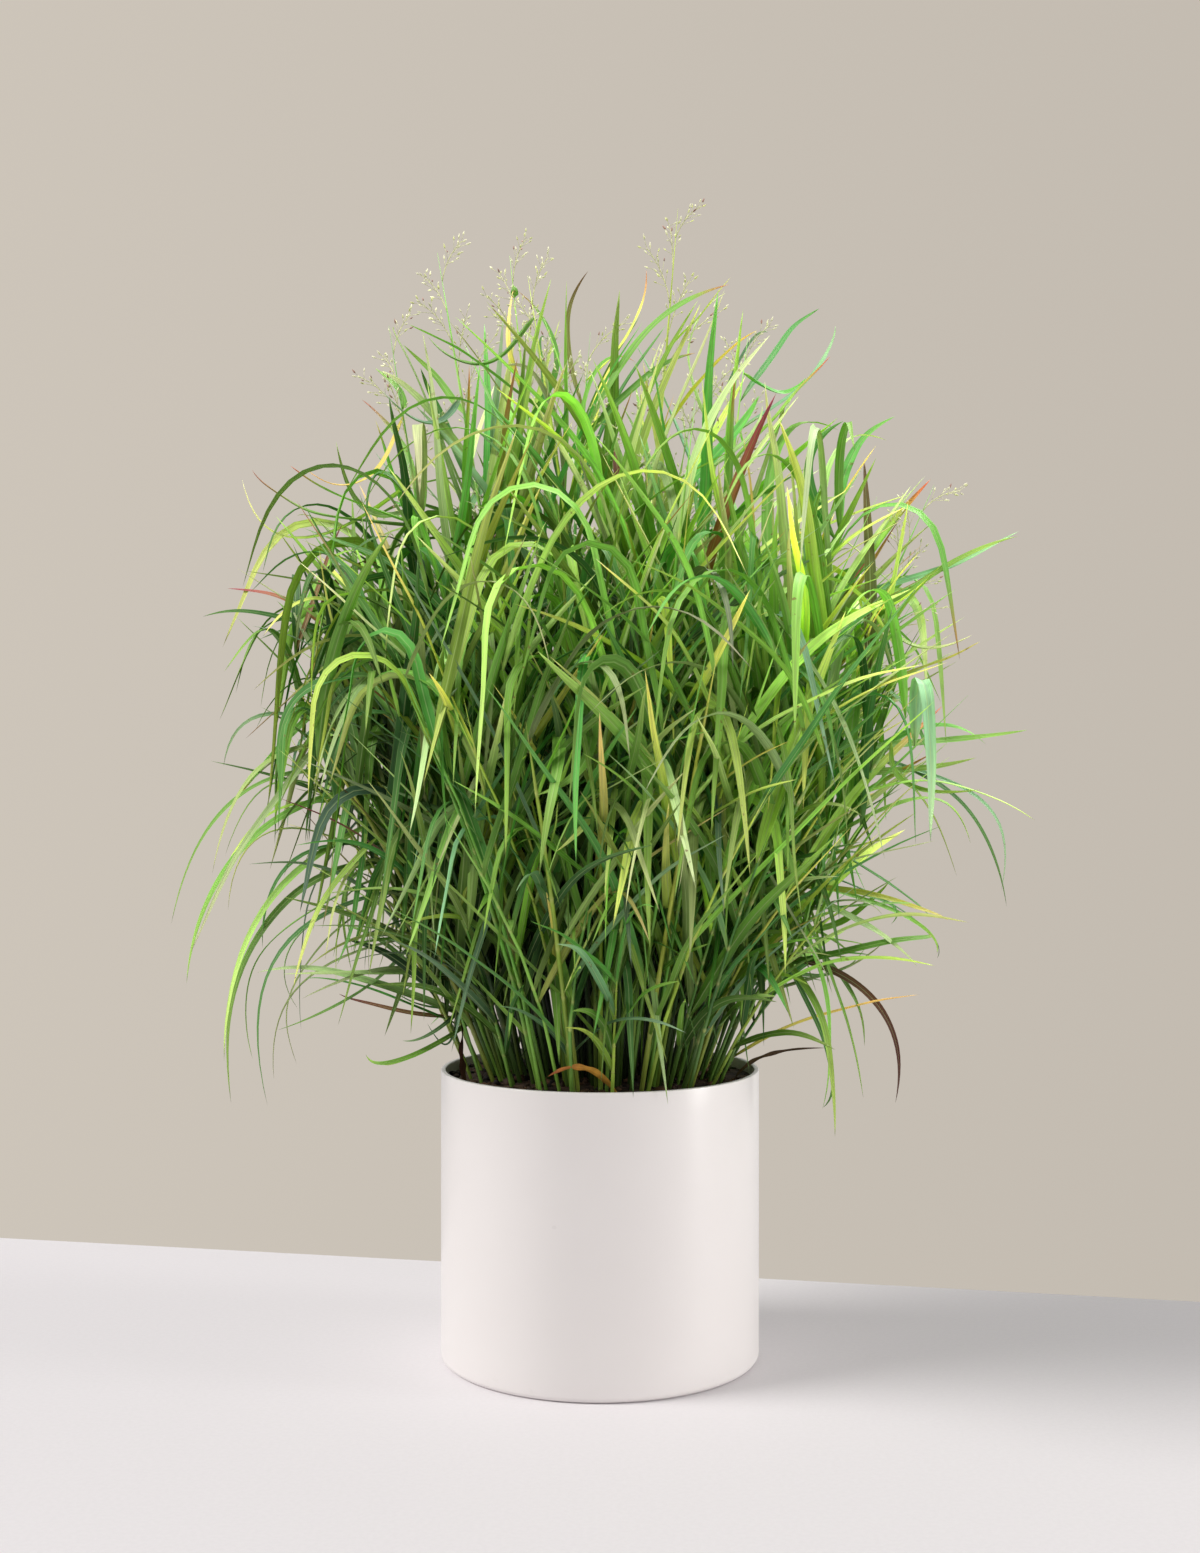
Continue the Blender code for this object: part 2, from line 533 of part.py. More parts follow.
def tree_of(solids):
    """A search tree over the triangles of several solids."""
    points, faces, offset = [], [], 0
    for solid_points, solid_faces in solids:
        points.extend(map(tuple, solid_points))
        faces.extend(tuple(corner + offset for corner in face) for face in solid_faces)
        offset += len(solid_points)
    return BVHTree.FromPolygons(points, faces)


def mesh_arrays(mesh):
    """A mesh's points and triangles."""
    points = [tuple(vertex.co) for vertex in mesh.vertices]
    return points, [tuple(face.vertices) for face in mesh.polygons]


class Clump:
    """The culms and what grows on them, with the search trees that keep one from crossing another."""

    def __init__(self, lines, fixed):
        """Start from the culms and from the solids round them, which the blades stay clear of."""
        self.lines = lines
        self.rods = [culm_mesh(f"rod_{i:02d}", line) for i, line in enumerate(self.lines)]
        arrays = [mesh_arrays(rod) for rod in self.rods]
        self.others = [tree_of(arrays[:i] + arrays[i + 1 :] + fixed) for i in range(len(arrays))]
        self.every_rod = tree_of(arrays + fixed)
        self.growths = [[] for _ in self.lines]
        self.placed = []
        self.tree = None

    def clear(self, culm, blade):
        """Whether a blade, made a little fatter, touches nothing but its own culm near its foot."""
        near = BVHTree.FromPolygons(*blade_solid(blade, CLEARANCE_THICKNESS, CLEARANCE_WIDTH))
        if near.overlap(self.others[culm]) or (self.tree and near.overlap(self.tree)):
            return False
        far = BVHTree.FromPolygons(*blade_solid(blade, CLEARANCE_THICKNESS, CLEARANCE_WIDTH, footless=True))
        return not far.overlap(self.every_rod)

    def grow_first_clear(self, draws):
        """Keep the first drawn blade that hangs clear, on its culm; where none does, keep none."""
        for culm, blade in draws:
            if blade and self.clear(culm, blade):
                solid = blade_solid(blade)
                self.growths[culm].append(solid)
                self.placed.append(solid)
                self.tree = tree_of(self.placed)
                return


def grow_landmarks(clump):
    """Place the blades that give the clump its outline."""
    for index in range(len(LANDMARK_BLADES)):
        clump.grow_first_clear(landmark_blade(index, attempt, clump.lines) for attempt in range(BLADE_TRIES))


def grow_panicles(clump):
    """Place the open flower heads: fine branches that leave the top of a culm in turn round it."""
    for culm in range(len(FLOWER_TOPS)):
        for branch in range(PANICLE_BRANCHES):
            curve = clump.lines[culm][2]
            clump.grow_first_clear(
                (culm, panicle_branch(culm, branch, attempt, curve)) for attempt in range(BLADE_TRIES)
            )


def panicle_branch(culm, branch, attempt, line):
    """One draw of a flower head's branch: it leaves steeply and nods a little at its end."""
    draw = np.random.default_rng([SEED, 7000 + culm, branch, attempt])
    span = PANICLE_LENGTH / np.linalg.norm(np.diff(line, axis=0), axis=1).sum()
    share = 1 - span * (1 - (1 - PANICLE_BARE_TIP) * branch / (PANICLE_BRANCHES - 1))
    azimuth = branch * GOLDEN_ANGLE * 2 + draw.uniform(-BRANCH_TURN, BRANCH_TURN)
    spread = PANICLE_SPREAD * draw.uniform(*BRANCH_SPREADS)
    length = BRANCH_LENGTH * (LOWEST_BRANCH - BRANCH_SHORTENING * branch / PANICLE_BRANCHES)
    length *= draw.uniform(*BRANCH_LENGTHS)
    start = along(line, share)
    axis = unit(line[-1] - line[-8])
    across = unit(np.cross(axis, (math.cos(azimuth), math.sin(azimuth), 0.3)))
    heading = axis * math.cos(spread) + across * math.sin(spread)
    aside, down = BRANCH_NOD
    tip = start + length * (heading + across * aside - np.array([0, 0, down]))
    path = bow(start, start + length * 0.5 * heading, tip, PATH_STEPS + 1)
    aim = math.atan2(heading[1], heading[0])
    return dict(path=path, azimuth=aim, roll=0.0, twist=0.0, width=BRANCH_WIDTH, shares=BRANCH_SHARES)


def grow_leaves(clump):
    """Place the blades that grow by rule, the highest on every culm first."""
    for leaf in reversed(range(LEAVES_PER_CULM)):
        for culm, (_, _, curve) in enumerate(clump.lines):
            if culm >= len(FLOWER_TOPS) or leaf in FLOWERING_CULM_LEAVES:
                clump.grow_first_clear(
                    (culm, ruled_blade(culm, leaf, attempt, curve)) for attempt in range(BLADE_TRIES)
                )


def solid_mesh(name, points, faces):
    """A mesh of a loft, with its faces turned outwards."""
    mesh = bpy.data.meshes.new(name)
    mesh.from_pydata([tuple(point) for point in points], [], faces)
    tidy = bmesh.new()
    tidy.from_mesh(mesh)
    bmesh.ops.recalc_face_normals(tidy, faces=tidy.faces)
    tidy.to_mesh(mesh)
    tidy.free()
    return mesh


def join_growth(name, rod, solids, collection, finish):
    """One culm as one solid: a single Boolean union of its rod with the collection of its blades."""
    culm = add_object(name, rod, collection, finish)
    if not solids:
        return culm
    growth = bpy.data.collections.new(f"{name}_growth")
    bpy.context.scene.collection.children.link(growth)
    for number, (points, faces) in enumerate(solids):
        piece = solid_mesh(f"{name}_blade_{number}", points, faces)
        growth.objects.link(bpy.data.objects.new(piece.name, piece))
    join = culm.modifiers.new("Join", "BOOLEAN")
    join.operation = "UNION"
    join.operand_type = "COLLECTION"
    join.collection = growth
    join.solver = "MANIFOLD"
    shape = culm.evaluated_get(bpy.context.evaluated_depsgraph_get())
    joined = bpy.data.meshes.new_from_object(shape)
    joined.name = name
    culm.modifiers.clear()
    culm.data = joined
    for piece in list(growth.objects):
        bpy.data.objects.remove(piece)
    bpy.data.collections.remove(growth)
    return culm


def make_dry_blade(index, collection, holes, finish):
    """A dry leaf or stalk in the soil: a straight narrow foot, then a bow to its tip, as one loft."""
    foot, middle, tip, width = DRY_BLADES[index]
    curve = bow(foot, middle, tip, PATH_STEPS + 1)
    heading = unit(curve[1] - curve[0])
    path = np.vstack([foot - heading * CULM_DEPTH, foot, curve[1:]])
    lengths = np.concatenate([[0], np.cumsum(np.linalg.norm(np.diff(path, axis=0), axis=1))])
    evenly = np.linspace(0, lengths[-1], PATH_STEPS + 1)
    path = np.stack([np.interp(evenly, lengths, path[:, axis]) for axis in range(3)], axis=1)
    sunk = (CULM_DEPTH + COLLAR_HEIGHT) / lengths[-1]
    azimuth = math.atan2(tip[1] - foot[1], tip[0] - foot[0])
    shares = (0.0, sunk, sunk + DRY_WIDENING, *DRY_SHARES)
    blade = dict(path=path, azimuth=azimuth, roll=DRY_ROLL, twist=DRY_TWIST, width=width, shares=shares)
    blade["stalk"] = DRY_STALK_WIDTH
    solid = blade_solid(blade)
    name = f"dry_blade_{index + 1}"
    add_object(name, solid_mesh(name, *solid), collection, finish)
    make_hole(90 + index, path[0], heading, DRY_STALK_WIDTH / 2, holes)
    return solid


def main():
    """Build the pot, the soil and the grass."""
    for item in list(bpy.data.objects):
        bpy.data.objects.remove(item)
    collection = bpy.data.collections.new("switchgrass")
    holes = bpy.data.collections.new("hole_cutters")
    for each in (collection, holes):
        bpy.context.scene.collection.children.link(each)
    pot = make_pot(collection)
    dry = material("dry_leaf", (0.16, 0.075, 0.035), 0.8)
    dry_solids = [make_dry_blade(index, collection, holes, dry) for index in range(len(DRY_BLADES))]
    lines = culm_lines()
    for index, (foot, heading, _) in enumerate(lines):
        make_hole(index, foot, heading, CULM_BASE_RADIUS, holes)
    soil = make_soil(collection, holes)
    graph = bpy.context.evaluated_depsgraph_get()
    walls = [mesh_arrays(bpy.data.meshes.new_from_object(item.evaluated_get(graph))) for item in (pot, soil)]
    clump = Clump(lines, walls + dry_solids)
    grow_landmarks(clump)
    grow_panicles(clump)
    grow_leaves(clump)
    leaf = material("green_leaf", (0.085, 0.24, 0.045), 0.5)
    flowering = material("flowering_culm", (0.36, 0.45, 0.13), 0.6)
    for culm, (rod, growth) in enumerate(zip(clump.rods, clump.growths)):
        if culm < len(FLOWER_TOPS):
            join_growth(f"flowering_culm_{culm + 1:02d}", rod, growth, collection, flowering)
        else:
            join_growth(f"leafy_culm_{culm + 1 - len(FLOWER_TOPS):02d}", rod, growth, collection, leaf)


if __name__ == "__main__":
    main()
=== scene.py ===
"""Switchgrass in a plain cylindrical planter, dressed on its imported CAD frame.

The frame gives every culm, blade and flower head its place. The rule and the seeded draws of the part's
source are worked out again here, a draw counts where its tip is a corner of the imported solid, and a fine
blade is then laid along its line. Side shoots that are too many and too thin for the solids fill the clump
in between. Metres, +Z up, origin under the middle of the planter.
"""

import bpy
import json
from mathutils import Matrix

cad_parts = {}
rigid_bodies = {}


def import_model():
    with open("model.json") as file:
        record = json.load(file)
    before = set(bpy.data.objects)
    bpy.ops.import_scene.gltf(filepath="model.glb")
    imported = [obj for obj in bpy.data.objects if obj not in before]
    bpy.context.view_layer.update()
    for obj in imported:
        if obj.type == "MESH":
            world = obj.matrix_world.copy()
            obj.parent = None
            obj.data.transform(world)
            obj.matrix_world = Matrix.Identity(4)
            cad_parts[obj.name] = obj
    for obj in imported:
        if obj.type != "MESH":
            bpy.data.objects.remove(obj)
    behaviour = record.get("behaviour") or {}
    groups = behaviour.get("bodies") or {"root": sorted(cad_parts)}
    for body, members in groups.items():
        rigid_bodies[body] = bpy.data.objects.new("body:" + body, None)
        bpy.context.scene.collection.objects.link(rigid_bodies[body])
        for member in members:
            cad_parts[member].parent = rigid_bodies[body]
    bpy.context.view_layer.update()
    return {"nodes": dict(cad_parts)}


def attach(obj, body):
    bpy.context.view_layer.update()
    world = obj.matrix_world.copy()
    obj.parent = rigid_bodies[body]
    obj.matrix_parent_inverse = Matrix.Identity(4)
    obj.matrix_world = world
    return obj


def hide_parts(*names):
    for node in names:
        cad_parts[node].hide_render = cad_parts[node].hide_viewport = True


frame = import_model()

import json
import math

import bpy
import numpy as np
from bpy.props import FloatProperty, FloatVectorProperty, IntProperty, PointerProperty

bl_info = {
    "name": "Potted Switchgrass",
    "version": (1, 0, 0),
    "blender": (4, 5, 0),
    "location": "View3D > Sidebar > Switchgrass",
    "description": "Dresses a packed frame as switchgrass growing in a plain planter",
    "category": "Add Mesh",
}

ROOT_BODY = "root"

# Planter and soil
POT_RADIUS = 0.150
POT_HEIGHT = 0.271
POT_WALL = 0.0045
POT_FLOOR = 0.007
FOOT_ROUNDING = 0.006
RIM_ROUNDING = 0.0012
SOIL_DROP = 0.010
SOIL_CROWN = 0.005
GAP = 0.0003

# The culms of the frame, repeated from the part's source
LEAFY_COUNT = 44
ROOT_DISC_RADIUS = 0.117
GOLDEN_ANGLE = math.pi * (3 - math.sqrt(5))
CULM_DEPTH = 0.024
COLLAR_HEIGHT = 0.006
CULM_BASE_RADIUS = 0.0021
CULM_TIP_RADIUS = 0.0010
MIDDLE_CULM_LENGTH = 0.66
OUTER_CULM_LENGTH = 0.38
CULM_LENGTH_SPREAD = (0.86, 1.06)
MIDDLE_LEAN = math.radians(2)
OUTER_LEAN = math.radians(22)
LEAN_GAIN = 1.3
FLOWERING_LEAN_GAIN = 1.25
LEAN_SPREAD = (math.radians(-1.5), math.radians(3.0))
SIDEWAYS_SPREAD = 0.03
KNEE_SHARE = 0.45
CULM_SHARES = (0.0, 0.25, 0.5, 0.75, 1.0)
FLOWER_TOPS = (
    (0.073, -0.020, 1.078),
    (-0.154, 0.000, 1.042),
    (-0.087, 0.030, 1.048),
    (-0.067, -0.040, 1.010),
    (-0.200, 0.000, 0.973),
    (-0.009, -0.030, 0.960),
    (0.142, 0.020, 0.970),
    (0.320, 0.020, 0.825),
    (0.037, -0.050, 0.911),
    (0.112, 0.050, 0.941),
)

# The flower heads' branches, repeated from the part's source
PANICLE_LENGTH = 0.17
PANICLE_BRANCHES = 6
PANICLE_SPREAD = math.radians(24)
BRANCH_LENGTH = 0.075
BRANCH_TURN = 0.4
BRANCH_SPREADS = (0.7, 1.3)
BRANCH_LENGTHS = (0.8, 1.1)
LOWEST_BRANCH = 1.15
BRANCH_SHORTENING = 0.6
BRANCH_NOD = (0.12, 0.10)
PANICLE_BARE_TIP = 0.15

# The blades, repeated from the part's source
LEAVES_PER_CULM = 7
FLOWERING_CULM_LEAVES = (1, 3)
LOWEST_LEAF = 0.12
HIGHEST_LEAF = 0.95
BLADE_WIDTHS = (0.008, 0.0135)
LEFT_SLIMNESS = 0.85
BLADE_LENGTHS = (0.22, 0.40)
FIRST_INCLINES = (math.radians(10), math.radians(34))
OUTER_INCLINE = math.radians(36)
OUTER_DISTANCE = 0.20
MIDDLE_TURN = 0.95
TURN_LOST_OUTSIDE = 0.42
LONGEST_BLADE_SHARE = 0.55
LENGTH_LOSS = 0.25
LEFT_FROM = -0.3
STIFF_SWINGS = (math.radians(4), math.radians(44))
ARCHED_SWINGS = (math.radians(90), math.radians(135))
STEEPEST_HANG = math.radians(172)
BEND_STARTS = (0.0, 0.25)
BEND_END = 0.95
SIDEWAYS_DRIFT = 0.35
TWIST = math.radians(45)
ROLL = math.radians(22)
LANDMARK_TURN = math.radians(30)
ARCHED_PART = 0.36
ARCHED_LEFT = 0.26
ARCHED_FRONT = 0.14
PATH_STEPS = 48
LEAFY_STEPS = slice(6, -2)
BLADE_TRIES = 140
REACH_HEIGHTS = (0.275, 0.36, 0.45, 0.57, 0.68, 0.78, 0.88, 0.96, 1.03)
REACH_RADII = (0.175, 0.245, 0.305, 0.345, 0.350, 0.310, 0.240, 0.175, 0.090)
REACH_LEEWAY = (0.86, 1.08)
HIGHEST_BLADE = 1.0
LANDMARK_WANDER = 0.0008
TRIES_PER_CULM = 12
CULMS_TRIED = 6
MATCH_DISTANCE = 0.0003
SEED = 4107

# The listed blades of the source: foot, middle, tip, width, and here also the tone of each
LANDMARK_BLADES = (
    ((-0.208, -0.020, 0.551), (-0.334, -0.040, 0.528), (-0.395, -0.050, 0.410), 0.007, "green"),
    ((-0.221, -0.050, 0.534), (-0.325, -0.083, 0.480), (-0.370, -0.100, 0.360), 0.007, "green"),
    ((-0.185, -0.040, 0.465), (-0.308, -0.066, 0.411), (-0.334, -0.080, 0.250), 0.008, "green"),
    ((-0.218, 0.020, 0.447), (-0.322, 0.033, 0.379), (-0.336, 0.040, 0.272), 0.006, "green"),
    ((-0.195, -0.080, 0.498), (-0.246, -0.119, 0.432), (-0.268, -0.140, 0.361), 0.006, "bright"),
    ((-0.192, 0.030, 0.466), (-0.243, 0.024, 0.437), (-0.237, 0.020, 0.360), 0.006, "green"),
    ((-0.149, -0.030, 0.352), (-0.217, -0.043, 0.364), (-0.293, -0.050, 0.364), 0.009, "pale"),
    ((-0.150, 0.020, 0.308), (-0.209, 0.020, 0.325), (-0.250, 0.020, 0.338), 0.005, "wine"),
    ((-0.140, -0.020, 0.290), (-0.173, -0.026, 0.285), (-0.203, -0.030, 0.278), 0.006, "bright"),
    ((-0.196, -0.060, 0.688), (-0.252, -0.086, 0.642), (-0.317, -0.100, 0.580), 0.009, "olive"),
    ((-0.226, 0.000, 0.660), (-0.284, 0.000, 0.595), (-0.345, 0.000, 0.524), 0.008, "browned"),
    ((-0.225, -0.120, 0.640), (-0.231, -0.146, 0.595), (-0.247, -0.160, 0.521), 0.010, "pale"),
    ((-0.270, 0.000, 0.694), (-0.263, 0.000, 0.737), (-0.244, 0.000, 0.785), 0.006, "wine"),
    ((-0.247, 0.030, 0.697), (-0.300, 0.043, 0.714), (-0.363, 0.050, 0.729), 0.007, "wine"),
    ((-0.229, 0.020, 0.773), (-0.280, 0.033, 0.803), (-0.337, 0.040, 0.843), 0.009, "rust"),
    ((-0.195, -0.030, 0.775), (-0.238, -0.037, 0.805), (-0.287, -0.040, 0.834), 0.009, "rust"),
    ((-0.164, 0.040, 0.825), (-0.196, 0.046, 0.873), (-0.232, 0.050, 0.913), 0.009, "rust"),
    ((-0.123, -0.020, 0.841), (-0.164, -0.026, 0.893), (-0.204, -0.030, 0.924), 0.010, "pale"),
    ((-0.071, -0.050, 0.878), (-0.121, -0.056, 0.931), (-0.175, -0.060, 0.960), 0.012, "green"),
    ((-0.122, 0.050, 0.894), (-0.156, 0.056, 0.930), (-0.193, 0.060, 0.969), 0.008, "green"),
    ((-0.135, -0.080, 0.774), (-0.199, -0.093, 0.819), (-0.208, -0.100, 0.745), 0.010, "deep"),
    ((-0.033, 0.000, 0.882), (-0.031, 0.000, 0.969), (-0.011, 0.000, 1.025), 0.006, "olive"),
    ((0.000, -0.030, 0.906), (0.031, -0.030, 0.966), (0.043, -0.030, 1.018), 0.006, "olive"),
    ((-0.087, 0.000, 0.902), (-0.087, 0.000, 0.954), (-0.082, 0.000, 1.007), 0.009, "straw"),
    ((0.000, 0.040, 0.901), (-0.043, 0.034, 0.957), (-0.080, 0.030, 1.014), 0.009, "browned"),
    ((-0.014, -0.050, 0.851), (0.041, -0.063, 0.949), (0.118, -0.070, 0.994), 0.011, "browned"),
    ((0.069, 0.030, 0.908), (0.087, 0.030, 0.966), (0.122, 0.030, 1.012), 0.010, "pale"),
    ((0.065, -0.030, 0.859), (0.102, -0.043, 0.922), (0.145, -0.050, 0.957), 0.009, "yellow"),
    ((0.085, 0.000, 0.798), (0.117, -0.013, 0.858), (0.149, -0.020, 0.903), 0.013, "deep"),
    ((0.144, 0.030, 0.841), (0.178, 0.030, 0.903), (0.222, 0.030, 0.951), 0.009, "rust"),
    ((0.211, 0.050, 0.868), (0.206, 0.050, 0.937), (0.229, 0.050, 0.985), 0.008, "blue"),
    ((0.189, 0.000, 0.798), (0.238, 0.013, 0.848), (0.283, 0.020, 0.891), 0.012, "deep"),
    ((0.156, -0.060, 0.790), (0.191, -0.073, 0.829), (0.221, -0.080, 0.868), 0.010, "deep"),
    ((0.211, 0.020, 0.724), (0.269, 0.026, 0.778), (0.321, 0.030, 0.825), 0.011, "rust"),
    ((0.147, -0.050, 0.699), (0.211, -0.056, 0.745), (0.279, -0.060, 0.792), 0.011, "bright"),
    ((0.237, 0.000, 0.706), (0.303, -0.013, 0.734), (0.393, -0.020, 0.776), 0.011, "blue"),
    ((0.228, -0.030, 0.617), (0.301, -0.037, 0.647), (0.352, -0.040, 0.671), 0.010, "yellow"),
    ((0.225, 0.020, 0.560), (0.318, 0.007, 0.579), (0.405, 0.000, 0.590), 0.010, "green"),
    ((0.225, -0.050, 0.530), (0.314, -0.070, 0.540), (0.394, -0.080, 0.506), 0.009, "bright"),
    ((0.261, 0.040, 0.567), (0.349, 0.053, 0.523), (0.398, 0.060, 0.418), 0.007, "deep"),
    ((0.193, -0.050, 0.432), (0.250, -0.070, 0.406), (0.287, -0.080, 0.374), 0.009, "pale"),
    ((0.242, 0.040, 0.436), (0.302, 0.053, 0.411), (0.330, 0.060, 0.368), 0.006, "deep"),
    ((0.199, 0.000, 0.434), (0.273, -0.013, 0.430), (0.326, -0.020, 0.411), 0.007, "yellow"),
    ((0.164, -0.020, 0.379), (0.255, -0.040, 0.339), (0.272, -0.050, 0.245), 0.008, "wine"),
    ((0.160, -0.060, 0.387), (0.199, -0.092, 0.323), (0.209, -0.110, 0.225), 0.008, "bright"),
    ((0.150, -0.120, 0.737), (0.202, -0.185, 0.598), (0.237, -0.220, 0.477), 0.009, "pale"),
    ((0.125, -0.100, 0.453), (0.175, -0.133, 0.473), (0.227, -0.150, 0.489), 0.013, "deep"),
    ((0.183, 0.030, 0.374), (0.232, 0.037, 0.407), (0.281, 0.040, 0.446), 0.010, "green"),
    ((-0.049, -0.120, 0.614), (-0.028, -0.172, 0.741), (-0.002, -0.200, 0.619), 0.013, "bright"),
    ((-0.070, -0.140, 0.595), (-0.093, -0.179, 0.666), (-0.100, -0.200, 0.518), 0.011, "pale"),
    ((0.080, -0.120, 0.561), (0.099, -0.172, 0.673), (0.124, -0.200, 0.535), 0.012, "pale"),
    ((0.079, -0.140, 0.482), (0.098, -0.179, 0.547), (0.109, -0.200, 0.455), 0.012, "bright"),
    ((-0.022, -0.100, 0.704), (-0.007, -0.165, 0.646), (0.000, -0.200, 0.551), 0.014, "pale"),
    ((0.017, -0.140, 0.595), (0.000, -0.192, 0.535), (-0.037, -0.220, 0.483), 0.012, "pale"),
    ((0.035, -0.150, 0.595), (0.051, -0.196, 0.695), (0.062, -0.220, 0.560), 0.010, "bright"),
)

# The dry blades of the source: foot at the soil, middle, tip, width, and here the body and tip colours
DRY_BLADES = (
    ((-0.124, -0.043, 0.262), (-0.127, -0.045, 0.300), (-0.122, -0.047, 0.346), 0.010, "5a3322", "3c2019"),
    ((0.016, -0.119, 0.262), (-0.012, -0.130, 0.289), (-0.046, -0.137, 0.283), 0.006, "dba23a", "9a5424"),
    ((0.124, -0.034, 0.262), (0.152, -0.040, 0.287), (0.208, -0.050, 0.296), 0.0035, "6c5238", "5a4030"),
)

# Tones of the blades: body, tip, where along the blade the tip's colour begins, and how much of it shows
TONES = {
    "green": ("659438", "87ab4b", 0.55, 0.8),
    "deep": ("437a36", "578839", 0.50, 0.7),
    "blue": ("587f58", "7f9d73", 0.45, 0.7),
    "pale": ("8fae66", "b9c88c", 0.40, 0.8),
    "bright": ("88b046", "b9cd6c", 0.35, 0.9),
    "yellow": ("a9bf4a", "dbdc7a", 0.30, 0.9),
    "straw": ("bfc268", "dccf86", 0.25, 0.9),
    "browned": ("5f953b", "8d5a34", 0.80, 0.9),
    "rust": ("6f9a3c", "8a4a2c", 0.52, 1.0),
    "olive": ("74853a", "6d4a30", 0.45, 0.9),
    "wine": ("7a5a3a", "5f2230", 0.35, 1.0),
}
TONE_NAMES = tuple(TONES)
# The share of each tone low and inside the clump, and high and outside
TONE_SHARES_INSIDE = np.array([0.38, 0.38, 0.06, 0.10, 0.06, 0.01, 0.00, 0.01, 0.00, 0.00, 0.00])
TONE_SHARES_OUTSIDE = np.array([0.30, 0.13, 0.06, 0.21, 0.15, 0.06, 0.02, 0.04, 0.01, 0.01, 0.01])
# Tones picked more at the upper right as painted light, the ones arched and hanging blades lack, the brown
# ones
PAINTED_LIGHT_TONES = slice(3, 6)
ARCHED_LACK = slice(4, None)
HANGING_LACK = slice(5, 7)
BROWN_TONES = slice(7, None)
# Heights and distances of tips between which the shares change
HIGH_TIPS = (0.40, 0.95)
HIGH_PART = 0.75
FAR_TIPS = (0.10, 0.33)
FAR_PART = 0.8
# Where the painted light of the upper right picks pale tones more: across, up, and how much more
LIT_TIPS_ACROSS = (-0.05, 0.30)
LIT_TIPS_UP = (0.45, 0.75)
LIT_PART = 0.12
GREEN_HALF_WIDTH = 0.22
GREEN_HEIGHT = 0.75

# A blade's colour: draws of its brightness, red and blue, pale base, underside, and painted shade on an
# arched one
BRIGHTNESS_SPREAD = 0.42
RED_SPREAD = (-0.10, 0.12)
BLUE_SPREAD = (-0.2, 0.2)
TIP_START_SPREAD = (-0.08, 0.08)
PALE_BASE = "9dbb5a"
PALE_BASE_PART = 0.35
PALE_BASE_END = 0.10
UNDERSIDE_LIGHT = 1.10
ARCHED_PAINTED_SHADE = 0.65
SOFTENING = 0.75
BRIGHTENING = 1.22

# Painted light and shade on the grass's colour: between which places each part rises, and how much it adds
OUTER_RISE = (0.2, 1.0)
OUTER_LIGHT = 1.05
OUTER_POWER = 1.2
CROWN_RISE = (0.55, 0.90)
CROWN_LIGHT = 0.9
SUNNY_ACROSS = (-0.05, 0.26)
SUNNY_UP = (0.28, 0.55)
SUNNY_LIGHT = 1.3
FRINGE_RISE = (0.85, 1.15)
FRINGE_LIGHT = 0.4
FRONT_RISE = (0.05, 0.17)
FRONT_UP = (0.26, 0.34)
FRONT_LIGHT = 0.55
DEEPEST_LIGHT = 0.05
BASE_RISE = (0.3, 0.5)
BASE_LIGHT = 0.07
PAINTED_SUN_RISE = (0.9, 2.4)
# The tints of the painted shade inside the clump and of the painted sunlight
PAINTED_SHADE_TINT = np.array([0.88, 1.0, 0.50])
PAINTED_SUN_TINT = np.array([0.12, 0.0, 0.22])

# Fine shape of a blade: the ring across it runs along its upper face from margin to margin and back below
RING_ACROSS = np.array([1.0, 0.5, 0.0, -0.5, -1.0, -0.5, 0.0, 0.5])
RING_FACE = np.array([0, 1, 1, 1, 0, -1, -1, -1])
RING_MARGINS = np.abs(RING_ACROSS) == 1
SHEET_THICKNESS = 0.00022
RIB_DEPTH = 0.00035
RIB_HALF_WIDTH = 0.005
RIB_FULL_SHARE = 0.4
COLLAR_WIDTH = 0.30
OPENING_SHARE = 0.05
TAPER_POWER = 2.4
TAPER_ROOT = 0.85
BASE_FOLD = math.radians(66)
FOLD_FALL = 0.10
FOLD_SPREAD = (0.4, 1.5)
SWAYS = (0.002, 0.010)
SIDE_SWAY_WAVES = (5, 9)
LIFT_SWAY_WAVES = (6, 11)
RIPPLES = (0.02, 0.10)
RIPPLE_WAVES = (14, 26)
RIPPLE_RISE = (0.1, 0.3)
LANDMARK_STEPS = 26
RULED_STEPS = 18

# Fine shape of a culm, in metres and in shares of its length
CULM_SIDES = 6
CULM_RINGS = 13
COLLARS_FROM = 0.04
COLLARS_TO = 0.97
COLLAR_EDGE = 0.004
NODE_ABOVE_COLLAR = 0.016
NODE_TOP = 0.008
NODE_WIDTH = 0.006
NODE_SWELL = 0.00030
SHEATH_STEP = 0.00032
SHEATH_LOW = 0.3
SPEAR_SHARE = 0.80
SPEAR_POWER = 1.5
SPEAR_LOSS = 0.9
CULM_TONES = ("5d9436", "79ab43", "a3c043", "bcc453", "4c8238")
CULM_TONE_SHARES = (0.32, 0.24, 0.17, 0.11, 0.16)
CULM_BRIGHTNESS = (0.05, 0.35)
CULM_FOOT = "8aa84e"
CULM_FOOT_PART = 0.45
CULM_FOOT_END = 0.35
NODE_COLOUR = "b7b672"
NODE_RING = 0.008
NODE_RING_PART = 0.6
BURIED_LIGHT = 0.6
BURIED_PLACE = -0.02
SIDE_SHOOT_RADII = (0.0015, 0.0007)

